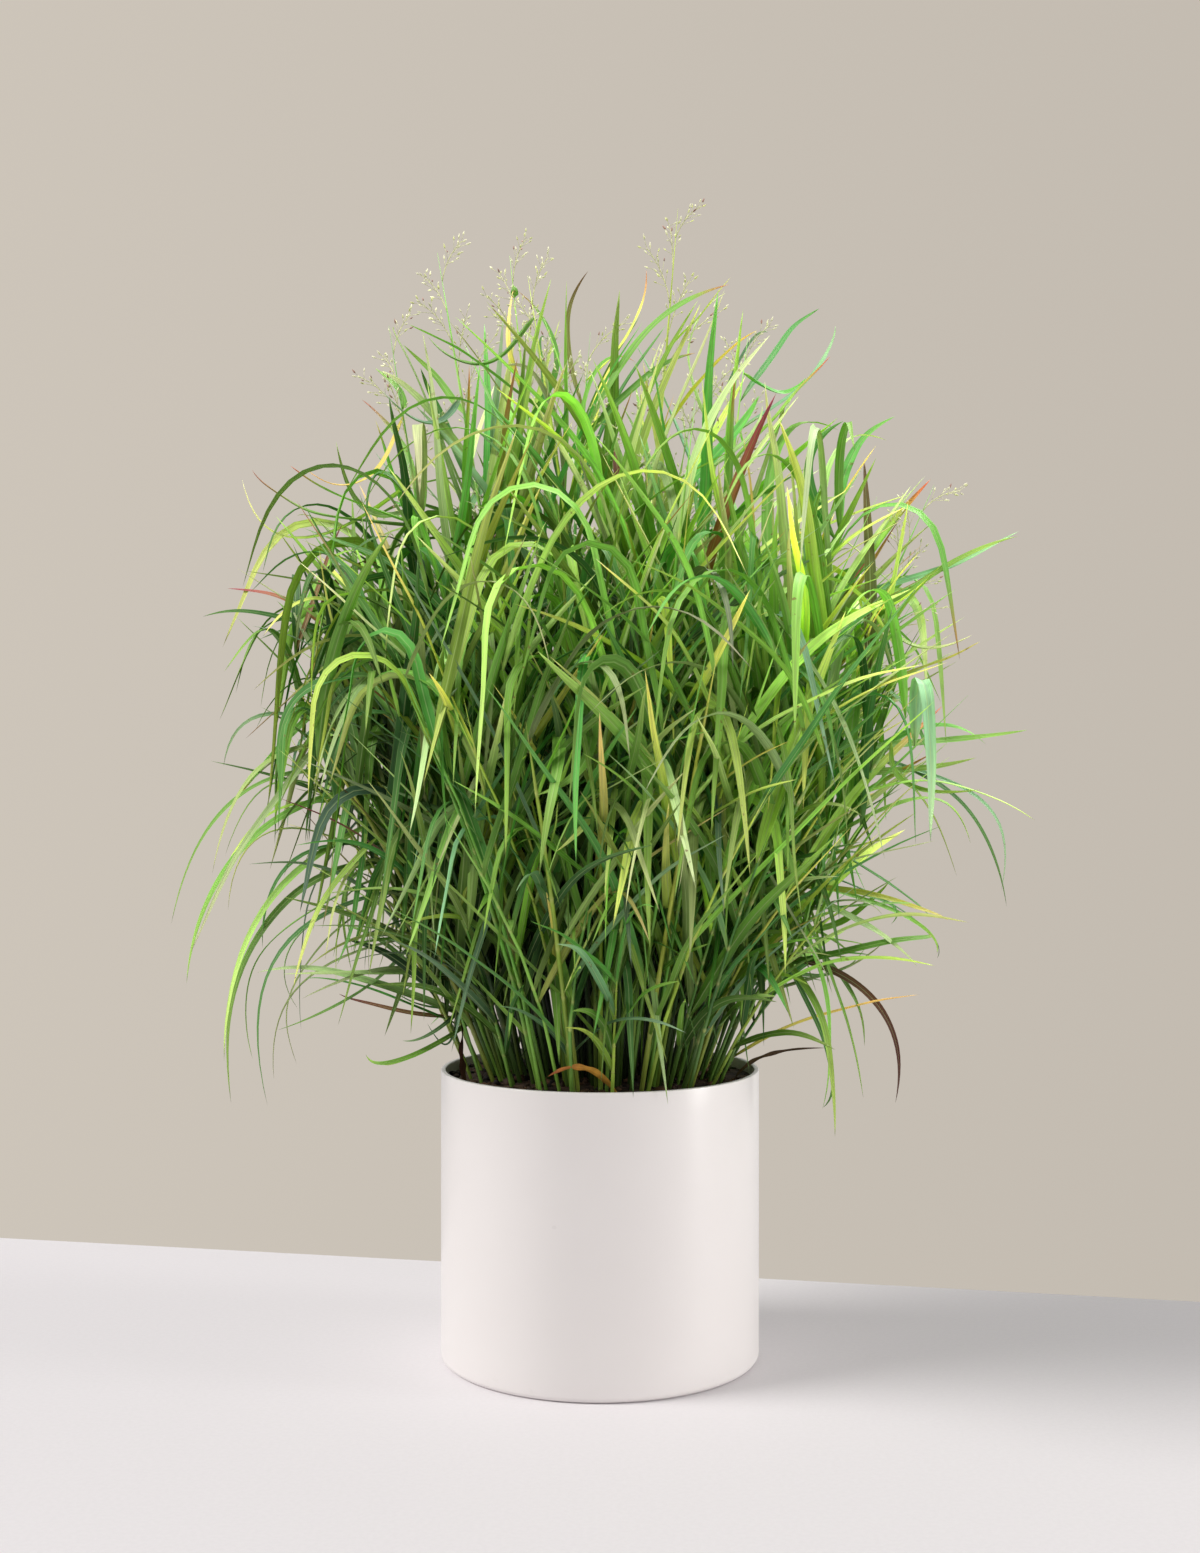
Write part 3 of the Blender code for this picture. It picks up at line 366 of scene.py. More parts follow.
# Fine shape of a flower head
STALK_RINGS = 9
STALK_RADIUS = 0.00050
STALK_NARROWING = 0.00022
PEDICELS_FROM = 0.28
PEDICEL_TURN = 0.3
PEDICEL_ANGLES = (0.45, 0.85)
LAST_PEDICEL = 0.4
PEDICEL_LENGTHS = (0.006, 0.017)
PEDICEL_SHORTENING = (1.1, 0.5)
PEDICEL_SAG = 0.12
PEDICEL_BOW = 0.1
PEDICEL_RADIUS = 0.00020
SPIKELET_SIZES = (0.8, 1.2)
SPIKELET_HEIGHTS = (0.08, 0.34, 0.72)
SPIKELET_RADII = np.array([0.12, 0.19, 0.10])
SPIKELET_TONES = ("ecebcb", "dde0a4", "b48f84")
SPIKELET_TONE_SHARES = (0.55, 0.35, 0.10)
STALK_TONE = "d3d5a0"
TINT_SPREAD = (0.85, 1.15)

# The blades beside a listed one
NEIGHBOUR_SPREAD = np.array([0.026, 0.030, 0.030])
NEIGHBOUR_SHARES = (-0.25, 0.15)
NEIGHBOUR_LENGTHS = (0.62, 1.0)
NEIGHBOUR_WIDTHS = (0.6, 1.05)
NEIGHBOUR_CROWN_SHIFT = 0.7
NEIGHBOUR_CROWN_SPREAD = 0.012
LOWEST_TIP = (-0.402, -0.358, 0.215)
HIGHEST_TIP = (0.412, 0.372, 1.02)
HANGS_LEFT_OF = -0.2
HANGS_LEFT_BELOW = 0.62
FAR_TIP = 0.18

# The side shoots
SHOOT_GAPS = (0.006, 0.015)
SHOOT_LIMIT = 0.136
SHOOT_REACHES = (0.72, 1.04)
SHOOT_SPREAD = 0.055
SHOOT_SPREAD_OUTSIDE = 0.09
SHOOT_LEANS = (0.7, 1.1)
SHOOT_TURN = 2.1
SHOOT_TURN_SPREAD = 0.8
SHOOT_TRIES = 24
LOW_LEAF_CHANCE = 0.6
FLOWERING_REACH = 0.80
FLOWERING_EXTRA_LEAVES = (0, 2, 4)
CROWN_LEAVES = 1
CROWN_HEIGHT = 0.68

# The side shoots' blades
SIDE_WIDTHS = (0.0085, 0.0150)
SIDE_ROLL = math.radians(55)
SIDE_WANDER = 0.4
SIDE_TOP_SHARES = (0.84, 0.97)
FRONT_TURN = math.radians(38)
STEEPER_HIGH = 0.35
STIFFER_HIGH = 0.4
HANGING_PART = 0.34
HANGING_LEFT = 0.15
HANGING_FRONT = 0.15
HANGING_FADE = (0.60, 0.76)
HANGING_TWIST = 0.4
HANG_MIDDLES = (0.30, 0.55)
HANG_SPREADS = (0.18, 0.32)
HANG_INCLINES = (math.radians(150), math.radians(178))
SHOULDER_RISE = (0.42, 0.58)
SHOULDER_LEFT = 0.3
SHOULDER_RIGHT = 0.85

# The basal shoots, and the low blades that spread over the rim
BASAL_REACH = 0.126
BASAL_WANDER = 0.006
BASAL_TURN = 1.0
BASAL_LEANS = (0.7, 1.3)
BASAL_HEIGHTS = (0.10, 0.24)
BASAL_WIDTH = 0.8
FLANK_FROM = 0.085
FLANK_SHARES = (0.10, 0.95)
FLANK_TURN = 1.1
FLANK_INCLINES = (math.radians(18), math.radians(62))
FLANK_SWINGS = (math.radians(20), math.radians(75))
FLANK_LENGTHS = (0.09, 0.20)
FLANK_WIDTHS = (0.007, 0.012)
FLANK_CLEARANCE = 0.006
FLANK_TRIES = 12

# Fine shape of the dry leaves
DRY_STEPS = 26
DRY_WIDENING = 1.35
DRY_SUNK = 0.008
DRY_ROLL = 0.5
DRY_TWIST = 0.9
DRY_BASE_WIDTH = 0.45
DRY_TAPER_POWER = 2.2
DRY_TAPER_ROOT = 0.7
DRY_FLATTEST = 0.2

# Fine shape of the planter, and of the soil with its crumbs
PLANTER_STEPS = 192
WALL_LEVELS = 14
FLOOR_ROUNDING = 0.003
SOIL_STEPS = 150
SOIL_RINGS = 60
SOIL_RING_POWER = 0.8
# The soil's lumps: the angle that each set of waves is turned by, its waves to a metre, and its height
LUMP_WAVES = ((0.3, 95, 1.3), (1.4, 140, 1.1), (2.3, 210, 0.8), (0.9, 330, 0.6), (2.8, 520, 0.5))
FOOT_RISE = 0.0012
FOOT_RISE_WIDTH = 0.006
EDGE_FADE = 0.01
CRUMB_SIZES = (0.0012, 0.0042)
CRUMB_CHIP = 1.7
CRUMB_CHIP_FROM = 0.8
CRUMB_SIDES = 5
CRUMB_ROUNDING = (0.55, 1.0, 0.6)
CRUMB_HEIGHTS = (-0.6, 0.0, 0.6)
CRUMB_POINT = 1.6
CRUMB_TONES = ("2b1c12", "3c2817", "4d3520", "6b4e33", "1a120d")

# The bake's map: margins of a skin's strip and how much the strip fills, and how many strips stand in a row
MAP_ACROSS = (0.04, 0.92)
MAP_UP = (0.03, 0.94)
ROW_MARGIN = 0.01
STRIPS_TO_A_ROW = 50

# What each seed's second number starts from
BRANCH_SEED = 7000
LANDMARK_SEED = 9000
TUFT_SEED = 11000
FLOWERING_LEAF_SEED = 12000
SPIKELET_SEED = 13000
SHOOT_SEED = 14000
CRUMB_SEED = 15000
DRY_SEED = 16000
BASAL_SEED = 17000
FLANK_SEED = 18000
BLADE_SEED = 77

# The order of a tuft's finishes
LEAF_FINISH = 0
CULM_FINISH = 1
PANICLE_FINISH = 2

# The stage: the ledge's corners seen from above, the wall's fade, and each lamp's kind, place, aim and size
LEDGE_CORNERS = ((-1.7, -1.9), (1.7, -1.9), (1.7, -0.046), (-1.7, 0.656))
LEDGE_DEPTH = -1.2
# The wall's painted light: its brightness across, paler at the left
WALL_FADE = {"From Min": -0.30, "From Max": 0.30, "To Min": 1.055, "To Max": 0.950}
SENSOR_WIDTH = 36.0
LAMP_COLOUR = (1.0, 0.985, 0.96)
LAMPS = {
    "key": ("SUN", (-1.5, -0.30, 1.7), (0, 0, 0.4), {"angle": math.radians(28)}),
    "right": ("SUN", (1.5, -0.32, 0.65), (0, 0, 0.4), {"angle": math.radians(16)}),
    "back": ("SUN", (1.0, 1.1, 2.4), (0, 0, 0.4), {"angle": math.radians(25)}),
    "front": ("SUN", (-0.5, -1.2, 2.0), (0, 0, 0.4), {"angle": math.radians(15)}),
    "strip": ("AREA", (1.50, -0.55, 0.35), (0, 0, 0.2), {"shape": "RECTANGLE", "size": 0.22, "size_y": 1.4}),
}
# The lamps that light only some pieces: the back and front ones the grass, and the strip the planter
GRASS_LAMPS = ("back", "front")
PLANTER_LAMPS = ("strip",)


def unit(vectors):
    """Vectors made one long, row by row: each divided by its length."""
    return vectors / np.linalg.norm(vectors, axis=-1, keepdims=True)


def linear(code):
    """A colour of six hexadecimal digits as linear red, green and blue.

    A channel c up to 0.04045 becomes c / 12.92, and one above it ((c + 0.055) / 1.055) to the power 2.4.
    """
    channels = np.array([int(code[i : i + 2], 16) for i in (0, 2, 4)]) / 255
    return np.where(channels <= 0.04045, channels / 12.92, ((channels + 0.055) / 1.055) ** 2.4)


def smooth(low, high, values):
    """The smooth step: 3 t squared less 2 t cubed, with t running from 0 at low to 1 at high."""
    t = np.clip((values - low) / (high - low), 0, 1)
    return t * t * (3 - 2 * t)


def soil_level(distance):
    """Height of the soil: its edge plus a crown that falls as the square of the distance from the axis."""
    edge = POT_HEIGHT - SOIL_DROP
    return edge + SOIL_CROWN * (1 - (distance / (POT_RADIUS - POT_WALL)) ** 2)


def bow(start, middle, end, count):
    """Points on the quadratic curve through three points.

    Its control point is twice the middle less the mean of the ends.
    """
    u = np.linspace(0, 1, count)[:, None]
    start, middle, end = (np.asarray(p, float) for p in (start, middle, end))
    crown = 2 * middle - (start + end) / 2
    return (1 - u) ** 2 * start + 2 * u * (1 - u) * crown + u**2 * end


def along(line, share):
    """The point at a share of a line's steps, by linear interpolation."""
    place = share * (len(line) - 1)
    low = min(int(place), len(line) - 2)
    return line[low] + (place - low) * (line[low + 1] - line[low])


def at_shares(line, shares):
    """The points at several shares of a line's steps, by linear interpolation of each coordinate."""
    steps = np.linspace(0, 1, len(line))
    return np.stack([np.interp(shares, steps, line[:, axis]) for axis in range(line.shape[1])], axis=1)


def culm_line(root, outward, lean, top):
    """One culm: its foot, its direction in the soil, and its jointed line above, read at even steps.

    The joints lie on a quadratic curve that leaves the soil in the foot's direction and ends at the top.
    """
    heading = outward * math.sin(lean) + np.array([0, 0, math.cos(lean)])
    collar = root + heading * COLLAR_HEIGHT
    knee = collar + heading * np.linalg.norm(top - collar) * KNEE_SHARE
    u = np.array(CULM_SHARES)[:, None]
    joints = (1 - u) ** 2 * collar + 2 * u * (1 - u) * knee + u**2 * top
    steps = np.linspace(0, 1, PATH_STEPS + 1)
    line = np.stack([np.interp(steps, CULM_SHARES, joints[:, axis]) for axis in range(3)], axis=1)
    return root - heading * CULM_DEPTH, heading, line


def culm_lines():
    """The centre line of each culm of the frame from its foot in the soil, flowering ones first.

    Roots lie on a disc by the golden angle, at the square root of their share of the count. A culm leans
    more the further it is from the middle. A flowering culm takes the root from which a culm would come
    nearest to its top.
    """
    index = np.arange(LEAFY_COUNT + len(FLOWER_TOPS))
    shares = np.sqrt((index + 0.5) / len(index))
    azimuth = index * GOLDEN_ANGLE
    xs, ys = ROOT_DISC_RADIUS * shares * np.cos(azimuth), ROOT_DISC_RADIUS * shares * np.sin(azimuth)
    roots = np.stack([xs, ys, soil_level(np.hypot(xs, ys))], axis=1)
    outward = unit(np.stack([xs, ys, 0 * xs], axis=1))
    leans = MIDDLE_LEAN + (OUTER_LEAN - MIDDLE_LEAN) * shares
    free = list(range(len(roots)))
    lines = []
    for top in FLOWER_TOPS:
        rise = top[2] - roots[:, 2]
        arrival = roots + outward * (rise * np.tan(leans * FLOWERING_LEAN_GAIN))[:, None]
        site = min(free, key=lambda i: math.hypot(arrival[i, 0] - top[0], arrival[i, 1] - top[1]))
        free.remove(site)
        lines.append(culm_line(roots[site], outward[site], leans[site], np.array(top)))
    for site in free:
        draw = np.random.default_rng([SEED, site])
        length = MIDDLE_CULM_LENGTH + (OUTER_CULM_LENGTH - MIDDLE_CULM_LENGTH) * shares[site] ** 1.6
        length *= draw.uniform(*CULM_LENGTH_SPREAD)
        lean = leans[site] * LEAN_GAIN + draw.uniform(*LEAN_SPREAD)
        sideways = draw.uniform(-SIDEWAYS_SPREAD, SIDEWAYS_SPREAD)
        side = np.array([-outward[site, 1], outward[site, 0], 0.0]) * sideways
        heading = unit(outward[site] * math.sin(lean) + side + np.array([0, 0, math.cos(lean)]))
        lines.append(culm_line(roots[site], outward[site], leans[site], roots[site] + length * heading))
    return lines


def grown_path(start, heading, incline, length):
    """A blade's path: the running sum of its direction, from the inclination and heading at each step."""
    level = np.sin(incline)
    step = np.stack([level * np.cos(heading), level * np.sin(heading), np.cos(incline)], axis=1)
    bends = np.vstack([np.zeros(3), np.cumsum((step[1:] + step[:-1]) / 2, axis=0)])
    return start + bends * length / PATH_STEPS


def strays(path, leeway):
    """Whether a path leaves the clump's shape, or rises above the highest blade."""
    distance = np.hypot(path[:, 0], path[:, 1])
    reach = np.interp(path[:, 2], REACH_HEIGHTS, REACH_RADII)
    return np.any(distance > leeway * reach) or path[:, 2].max() > HIGHEST_BLADE


def blade_start(draw, line, share):
    """Where a blade starts on a culm, which way is outward, how far out it is, and its drawn azimuth."""
    start = along(line, share)
    outward = math.atan2(start[1], start[0])
    outness = min(1.0, math.hypot(start[0], start[1]) / OUTER_DISTANCE)
    azimuth = outward + math.pi * (MIDDLE_TURN - TURN_LOST_OUTSIDE * outness) * draw.uniform(-1, 1)
    return start, outward, outness, azimuth


def ruled_blade(draw, leaf, line):
    """One draw of a blade that grows by rule from a culm, or None where it leaves the clump's shape.

    Its inclination from the vertical eases from one angle to another by the smooth step.
    """
    share = LOWEST_LEAF + (HIGHEST_LEAF - LOWEST_LEAF) * leaf / (LEAVES_PER_CULM - 1)
    start, outward, outness, azimuth = blade_start(draw, line, share)
    hanging = ARCHED_PART - ARCHED_LEFT * math.cos(azimuth) - ARCHED_FRONT * math.sin(azimuth)
    arched = draw.random() < hanging
    begin = draw.uniform(*FIRST_INCLINES) + OUTER_INCLINE * outness * max(0.0, math.cos(azimuth - outward))
    finish = min(begin + draw.uniform(*(ARCHED_SWINGS if arched else STIFF_SWINGS)), STEEPEST_HANG)
    bend = draw.uniform(*BEND_STARTS) if arched else 0.0
    length = draw.uniform(*BLADE_LENGTHS) * (1 - LENGTH_LOSS * abs(share - LONGEST_BLADE_SHARE))
    steps = np.linspace(0, 1, PATH_STEPS + 1)
    ease = np.clip((steps - bend) / (BEND_END - bend), 0, 1)
    incline = begin + (finish - begin) * ease**2 * (3 - 2 * ease)
    heading = azimuth + draw.uniform(-SIDEWAYS_DRIFT, SIDEWAYS_DRIFT) * steps
    path = grown_path(start, heading, incline, length)
    leeway = draw.uniform(*REACH_LEEWAY)
    width = draw.uniform(*BLADE_WIDTHS) * (LEFT_SLIMNESS if math.cos(azimuth) < LEFT_FROM else 1.0)
    twist = draw.uniform(-TWIST, TWIST)
    roll = draw.uniform(-ROLL, ROLL) - twist / 2
    if strays(path, leeway):
        return None
    return dict(path=path, azimuth=azimuth, roll=roll, twist=twist, width=width, share=share, arched=arched)


def side_blade(draw, leaf, line):
    """One draw of a side shoot's blade, or None where it leaves the clump's shape.

    Most are stiff and bend a little. The others rise, bend over within a fifth to a half of their length,
    and hang straight down, more of them at the left and in front, and none near the top.
    """
    place = leaf + draw.uniform(-SIDE_WANDER, SIDE_WANDER)
    share = LOWEST_LEAF + (HIGHEST_LEAF - LOWEST_LEAF) * place / (LEAVES_PER_CULM - 1)
    share = min(share, draw.uniform(*SIDE_TOP_SHARES))
    start, outward, outness, azimuth = blade_start(draw, line, share)
    hanging = HANGING_PART - HANGING_LEFT * math.cos(azimuth) - HANGING_FRONT * math.sin(azimuth)
    high = smooth(*HANGING_FADE, start[2])
    side = SHOULDER_LEFT if math.cos(azimuth) < LEFT_FROM else SHOULDER_RIGHT
    shoulder = outness * smooth(*SHOULDER_RISE, start[2]) * side
    hangs = draw.random() < hanging * (1 - high) * (1 - shoulder)
    steps = np.linspace(0, 1, PATH_STEPS + 1)
    begin = draw.uniform(*FIRST_INCLINES) * (1 - STEEPER_HIGH * high)
    if hangs:
        middle, spread = draw.uniform(*HANG_MIDDLES), draw.uniform(*HANG_SPREADS)
        finish = draw.uniform(*HANG_INCLINES)
        ease = smooth(middle - spread, middle + spread, steps)
    else:
        begin += OUTER_INCLINE * outness * max(0.0, math.cos(azimuth - outward))
        finish = begin + draw.uniform(*STIFF_SWINGS) * (1 - STIFFER_HIGH * high)
        ease = smooth(0.0, BEND_END, steps)
    heading = azimuth + draw.uniform(-SIDEWAYS_DRIFT, SIDEWAYS_DRIFT) * steps
    path = grown_path(start, heading, begin + (finish - begin) * ease, draw.uniform(*BLADE_LENGTHS))
    if strays(path, draw.uniform(*REACH_LEEWAY)):
        return None
    twist = draw.uniform(-TWIST, TWIST) * (HANGING_TWIST if hangs else 1.0)
    roll = draw.uniform(-SIDE_ROLL, SIDE_ROLL) - twist / 2
    width = draw.uniform(*SIDE_WIDTHS)
    return dict(path=path, azimuth=azimuth, roll=roll, twist=twist, width=width, share=share, hangs=hangs)


def landmark_blade(index, attempt, lines):
    """One draw of a listed blade: the culm it grows from, and the blade.

    Its foot is the nearest point of the nearest culm, or of the next nearest after every twelfth try, and
    its middle and tip wander a little further with each try.
    """
    foot, middle, tip, width, tone = LANDMARK_BLADES[index]
    draw = np.random.default_rng([SEED, LANDMARK_SEED + index, attempt])
    wander = LANDMARK_WANDER * attempt
    gaps = [np.linalg.norm(line[LEAFY_STEPS] - foot, axis=1) for _, _, line in lines]
    order = np.argsort([gap.min() for gap in gaps])
    culm = int(order[attempt // TRIES_PER_CULM % CULMS_TRIED])
    place = int(np.argmin(gaps[culm])) + LEAFY_STEPS.start
    start = lines[culm][2][place]
    middle = np.array(middle) + draw.uniform(-wander, wander, 3)
    tip = np.array(tip) + draw.uniform(-wander, wander, 3)
    path = bow(start, middle, tip, PATH_STEPS + 1)
    azimuth = math.atan2(tip[1] - start[1], tip[0] - start[0])
    roll = draw.uniform(-LANDMARK_TURN, LANDMARK_TURN)
    twist = draw.uniform(-LANDMARK_TURN, LANDMARK_TURN)
    blade = dict(path=path, azimuth=azimuth, roll=roll, twist=twist, width=width, tone=tone)
    return culm, dict(blade, share=place / PATH_STEPS)


def panicle_branch(culm, branch, attempt, line):
    """One draw of a flower head's branch: a quadratic curve that leaves steeply and nods at its end."""
    draw = np.random.default_rng([SEED, BRANCH_SEED + culm, branch, attempt])
    span = PANICLE_LENGTH / np.linalg.norm(np.diff(line, axis=0), axis=1).sum()
    share = 1 - span * (1 - (1 - PANICLE_BARE_TIP) * branch / (PANICLE_BRANCHES - 1))
    azimuth = branch * GOLDEN_ANGLE * 2 + draw.uniform(-BRANCH_TURN, BRANCH_TURN)
    spread = PANICLE_SPREAD * draw.uniform(*BRANCH_SPREADS)
    length = BRANCH_LENGTH * (LOWEST_BRANCH - BRANCH_SHORTENING * branch / PANICLE_BRANCHES)
    length *= draw.uniform(*BRANCH_LENGTHS)
    start = along(line, share)
    axis = unit(line[-1] - line[-8])
    across = unit(np.cross(axis, (math.cos(azimuth), math.sin(azimuth), 0.3)))
    heading = axis * math.cos(spread) + across * math.sin(spread)
    aside, down = BRANCH_NOD
    tip = start + length * (heading + across * aside - np.array([0, 0, down]))
    return bow(start, start + length * 0.5 * heading, tip, PATH_STEPS + 1)


def frame_points(name):
    """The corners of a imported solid, as rows of x, y and z."""
    mesh = frame["nodes"][name].data
    corners = np.empty(3 * len(mesh.vertices))
    mesh.vertices.foreach_get("co", corners)
    return corners.reshape(-1, 3)


def node_name(culm):
    """The frame's name for a culm by its place in the list of lines: flowering ones come first."""
    flowering = len(FLOWER_TOPS)
    return f"flowering_culm_{culm + 1:02d}" if culm < flowering else f"leafy_culm_{culm + 1 - flowering:02d}"


class Clump:
    """The frame's culms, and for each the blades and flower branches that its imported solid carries."""

    def __init__(self):
        """Repeat the source's draws, and keep each blade's first whose tip is a corner of its solid."""
        self.lines = culm_lines()
        self.corners = [frame_points(node_name(culm)) for culm in range(len(self.lines))]
        self.blades = [[] for _ in self.lines]
        self.branches = [[] for _ in self.lines]
        for index in range(len(LANDMARK_BLADES)):
            draws = (landmark_blade(index, attempt, self.lines) for attempt in range(BLADE_TRIES))
            found = next(((c, blade) for c, blade in draws if self.carries(c, blade["path"][-1])), None)
            if found:
                seed = [SEED, LANDMARK_SEED + index]
                self.blades[found[0]].append(dict(found[1], landmark=True, seed=seed))
        for culm, (_, _, line) in enumerate(self.lines):
            if culm < len(FLOWER_TOPS):
                for branch in range(PANICLE_BRANCHES):
                    draws = (panicle_branch(culm, branch, attempt, line) for attempt in range(BLADE_TRIES))
                    self.branches[culm] += [path for path in draws if self.carries(culm, path[-1])][:1]
            for leaf in range(LEAVES_PER_CULM):
                if culm >= len(FLOWER_TOPS) or leaf in FLOWERING_CULM_LEAVES:
                    self.blades[culm] += self.matched_leaf(culm, leaf, line)

    def carries(self, culm, tip):
        """Whether a point is a corner of a culm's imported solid, within 0.3 mm."""
        return np.linalg.norm(self.corners[culm] - tip, axis=1).min() < MATCH_DISTANCE

    def matched_leaf(self, culm, leaf, line):
        """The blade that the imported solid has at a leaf's place, in a list that is empty if it has none."""
        for attempt in range(BLADE_TRIES):
            seed = [SEED, culm, leaf, attempt]
            blade = ruled_blade(np.random.default_rng(seed), leaf, line)
            if blade and self.carries(culm, blade["path"][-1]):
                return [dict(blade, seed=seed)]
        return []


def skin_faces(first, count, sides):
    """The faces of a closed skin over rings of points numbered from the first: quads, and end triangles.

    Quad k between rings r and r + 1 joins points k and k + 1 of both. A fan of triangles joins each end
    ring to one point, and these two points follow the rings.
    """
    ring, after = np.arange(sides), (np.arange(sides) + 1) % sides
    row = first + np.arange(count - 1)[:, None] * sides
    quads = np.stack([row + ring, row + after, row + after + sides, row + ring + sides], axis=-1)
    last, foot = first + (count - 1) * sides, first + count * sides
    start_fan = np.stack([first + after, first + ring, np.full(sides, foot)], axis=-1)
    end_fan = np.stack([last + ring, last + after, np.full(sides, foot + 1)], axis=-1)
    return quads.reshape(-1, 4), np.concatenate([start_fan, end_fan])


def skin_maps(count, sides):
    """The bake's map of a closed skin, for its quads and its end triangles.

    It is an upright strip in a unit square: once round a ring runs across it, and the rings follow one
    another up.
    """
    u = MAP_ACROSS[0] + MAP_ACROSS[1] * np.arange(sides + 1) / sides
    v = MAP_UP[0] + MAP_UP[1] * np.arange(count) / max(1, count - 1)
    shape = (count - 1, sides)
    low, high = np.broadcast_to(v[:-1, None], shape), np.broadcast_to(v[1:, None], shape)
    left, right = np.broadcast_to(u[:-1], shape), np.broadcast_to(u[1:], shape)
    quads = np.stack([left, low, right, low, right, high, left, high], axis=-1)
    bottom, top, middle = np.full(sides, v[0]), np.full(sides, v[-1]), (u[1:] + u[:-1]) / 2
    start_fan = np.stack([u[1:], bottom, u[:-1], bottom, middle, np.zeros(sides)], axis=-1)
    end_fan = np.stack([u[:-1], top, u[1:], top, middle, np.ones(sides)], axis=-1)
    return quads.reshape(-1, 4, 2), np.concatenate([start_fan, end_fan]).reshape(-1, 3, 2)


class Sheaf:
    """Closed skins gathered for one piece, with what each point carries and each face's finish."""

    def __init__(self):
        """Start with no skins."""
        self.points, self.colours, self.places, self.margins = [], [], [], []
        self.quads, self.fans, self.quad_maps, self.fan_maps = [], [], [], []
        self.quad_finishes, self.fan_finishes = [], []
        self.count = 0

    def add(self, rings, start, end, colours, places, finish, margin=None):
        """Add a skin over rings of points, one row after another, closed to a start point and an end point.

        Colours and places are given for each point of the rings. The margin tells which points of a ring
        lie on a sharp edge.
        """
        count, sides = rings.shape[:2]
        quads, fans = skin_faces(self.count, count, sides)
        quad_map, fan_map = skin_maps(count, sides)
        strip = np.array([len(self.points), 0.0])
        self.quads.append(quads)
        self.fans.append(fans)
        self.quad_maps.append(quad_map + strip)
        self.fan_maps.append(fan_map + strip)
        self.quad_finishes.append(np.full(len(quads), finish))
        self.fan_finishes.append(np.full(len(fans), finish))
        self.points.append(np.concatenate([rings.reshape(-1, 3), [start], [end]]))
        for kept, given in ((self.colours, colours), (self.places, places)):
            full = np.broadcast_to(given, (count, sides, 3))
            kept.append(np.concatenate([full.reshape(-1, 3), full[:1].mean(axis=1), full[-1:].mean(axis=1)]))
        edge = np.zeros(sides, bool) if margin is None else margin
        self.margins.append(np.concatenate([np.tile(edge, count), [False, False]]))
        self.count += count * sides + 2

    def piece(self, name, slot, nodes, finishes):
        """Make the mesh and its object, which rides on the root body and stands for the named CAD nodes."""
        points, quads, fans = (np.concatenate(part) for part in (self.points, self.quads, self.fans))
        mesh = bpy.data.meshes.new(name)
        mesh.from_pydata(points.tolist(), [], quads.tolist() + fans.tolist())
        for finish in finishes:
            mesh.materials.append(finish)
        worn = np.concatenate(self.quad_finishes + self.fan_finishes).astype(np.int32)
        mesh.polygons.foreach_set("material_index", worn)
        mesh.polygons.foreach_set("use_smooth", np.ones(len(worn), bool))
        colours = np.concatenate(self.colours)
        colour = mesh.color_attributes.new(name="grown_colour", type="FLOAT_COLOR", domain="POINT")
        colour.data.foreach_set("color", np.column_stack([colours, np.ones(len(colours))]).ravel())
        place = mesh.attributes.new("grown_place", "FLOAT_VECTOR", "POINT")
        place.data.foreach_set("vector", np.concatenate(self.places).ravel())
        self.mark_margins(mesh)
        self.lay_out(mesh)
        mesh.update()
        return dress(name, mesh, nodes)

    def mark_margins(self, mesh):
        """Mark an edge as sharp where both ends lie on a margin, so that a blade's two faces shade apart."""
        margin = np.concatenate(self.margins)
        ends = np.empty(2 * len(mesh.edges), np.int32)
        mesh.edges.foreach_get("vertices", ends)
        mesh.edges.foreach_set("use_edge_sharp", margin[ends.reshape(-1, 2)].all(axis=1))

    def lay_out(self, mesh):
        """Lay the strips side by side in as few rows as keep about fifty to a row, for the bake."""
        strips = len(self.points)
        rows = math.ceil(strips / STRIPS_TO_A_ROW)
        columns = math.ceil(strips / rows)
        corners = np.concatenate([np.concatenate(m).reshape(-1, 2) for m in (self.quad_maps, self.fan_maps)])
        strip = np.floor(corners[:, 0])
        across = (strip % columns + corners[:, 0] - strip) / columns
        up = (strip // columns + ROW_MARGIN + (1 - 2 * ROW_MARGIN) * corners[:, 1]) / rows
        layer = mesh.uv_layers.new(name="OFBake")
        layer.uv.foreach_set("vector", np.stack([across, up], axis=1).ravel())


def dress(name, mesh, nodes):
    """An object for a mesh already in its place: it rides on the root body and replaces CAD nodes."""
    made = bpy.data.objects.new(name, mesh)
    bpy.context.scene.collection.objects.link(made)
    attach(made, ROOT_BODY)
    if nodes:
        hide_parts(*nodes)
    return made


def blade_rail(path, shares, azimuth, roll, twist):
    """Centre, side and normal vectors at shares of a blade.

    The side vector is level and square to the blade's azimuth, made square to the path, and then turned
    about the path by the roll plus the twist times the share. The normal is the path's direction crossed
    with the side.
    """
    centre = at_shares(path, shares)
    tangent = unit(at_shares(np.gradient(path, axis=0), shares))
    level = np.array([-math.sin(azimuth), math.cos(azimuth), 0.0])
    side = unit(level - tangent * (tangent @ level)[:, None])
    normal = np.cross(tangent, side)
    turn = (roll + twist * shares)[:, None]
    return centre, side * np.cos(turn) + normal * np.sin(turn), normal * np.cos(turn) - side * np.sin(turn)


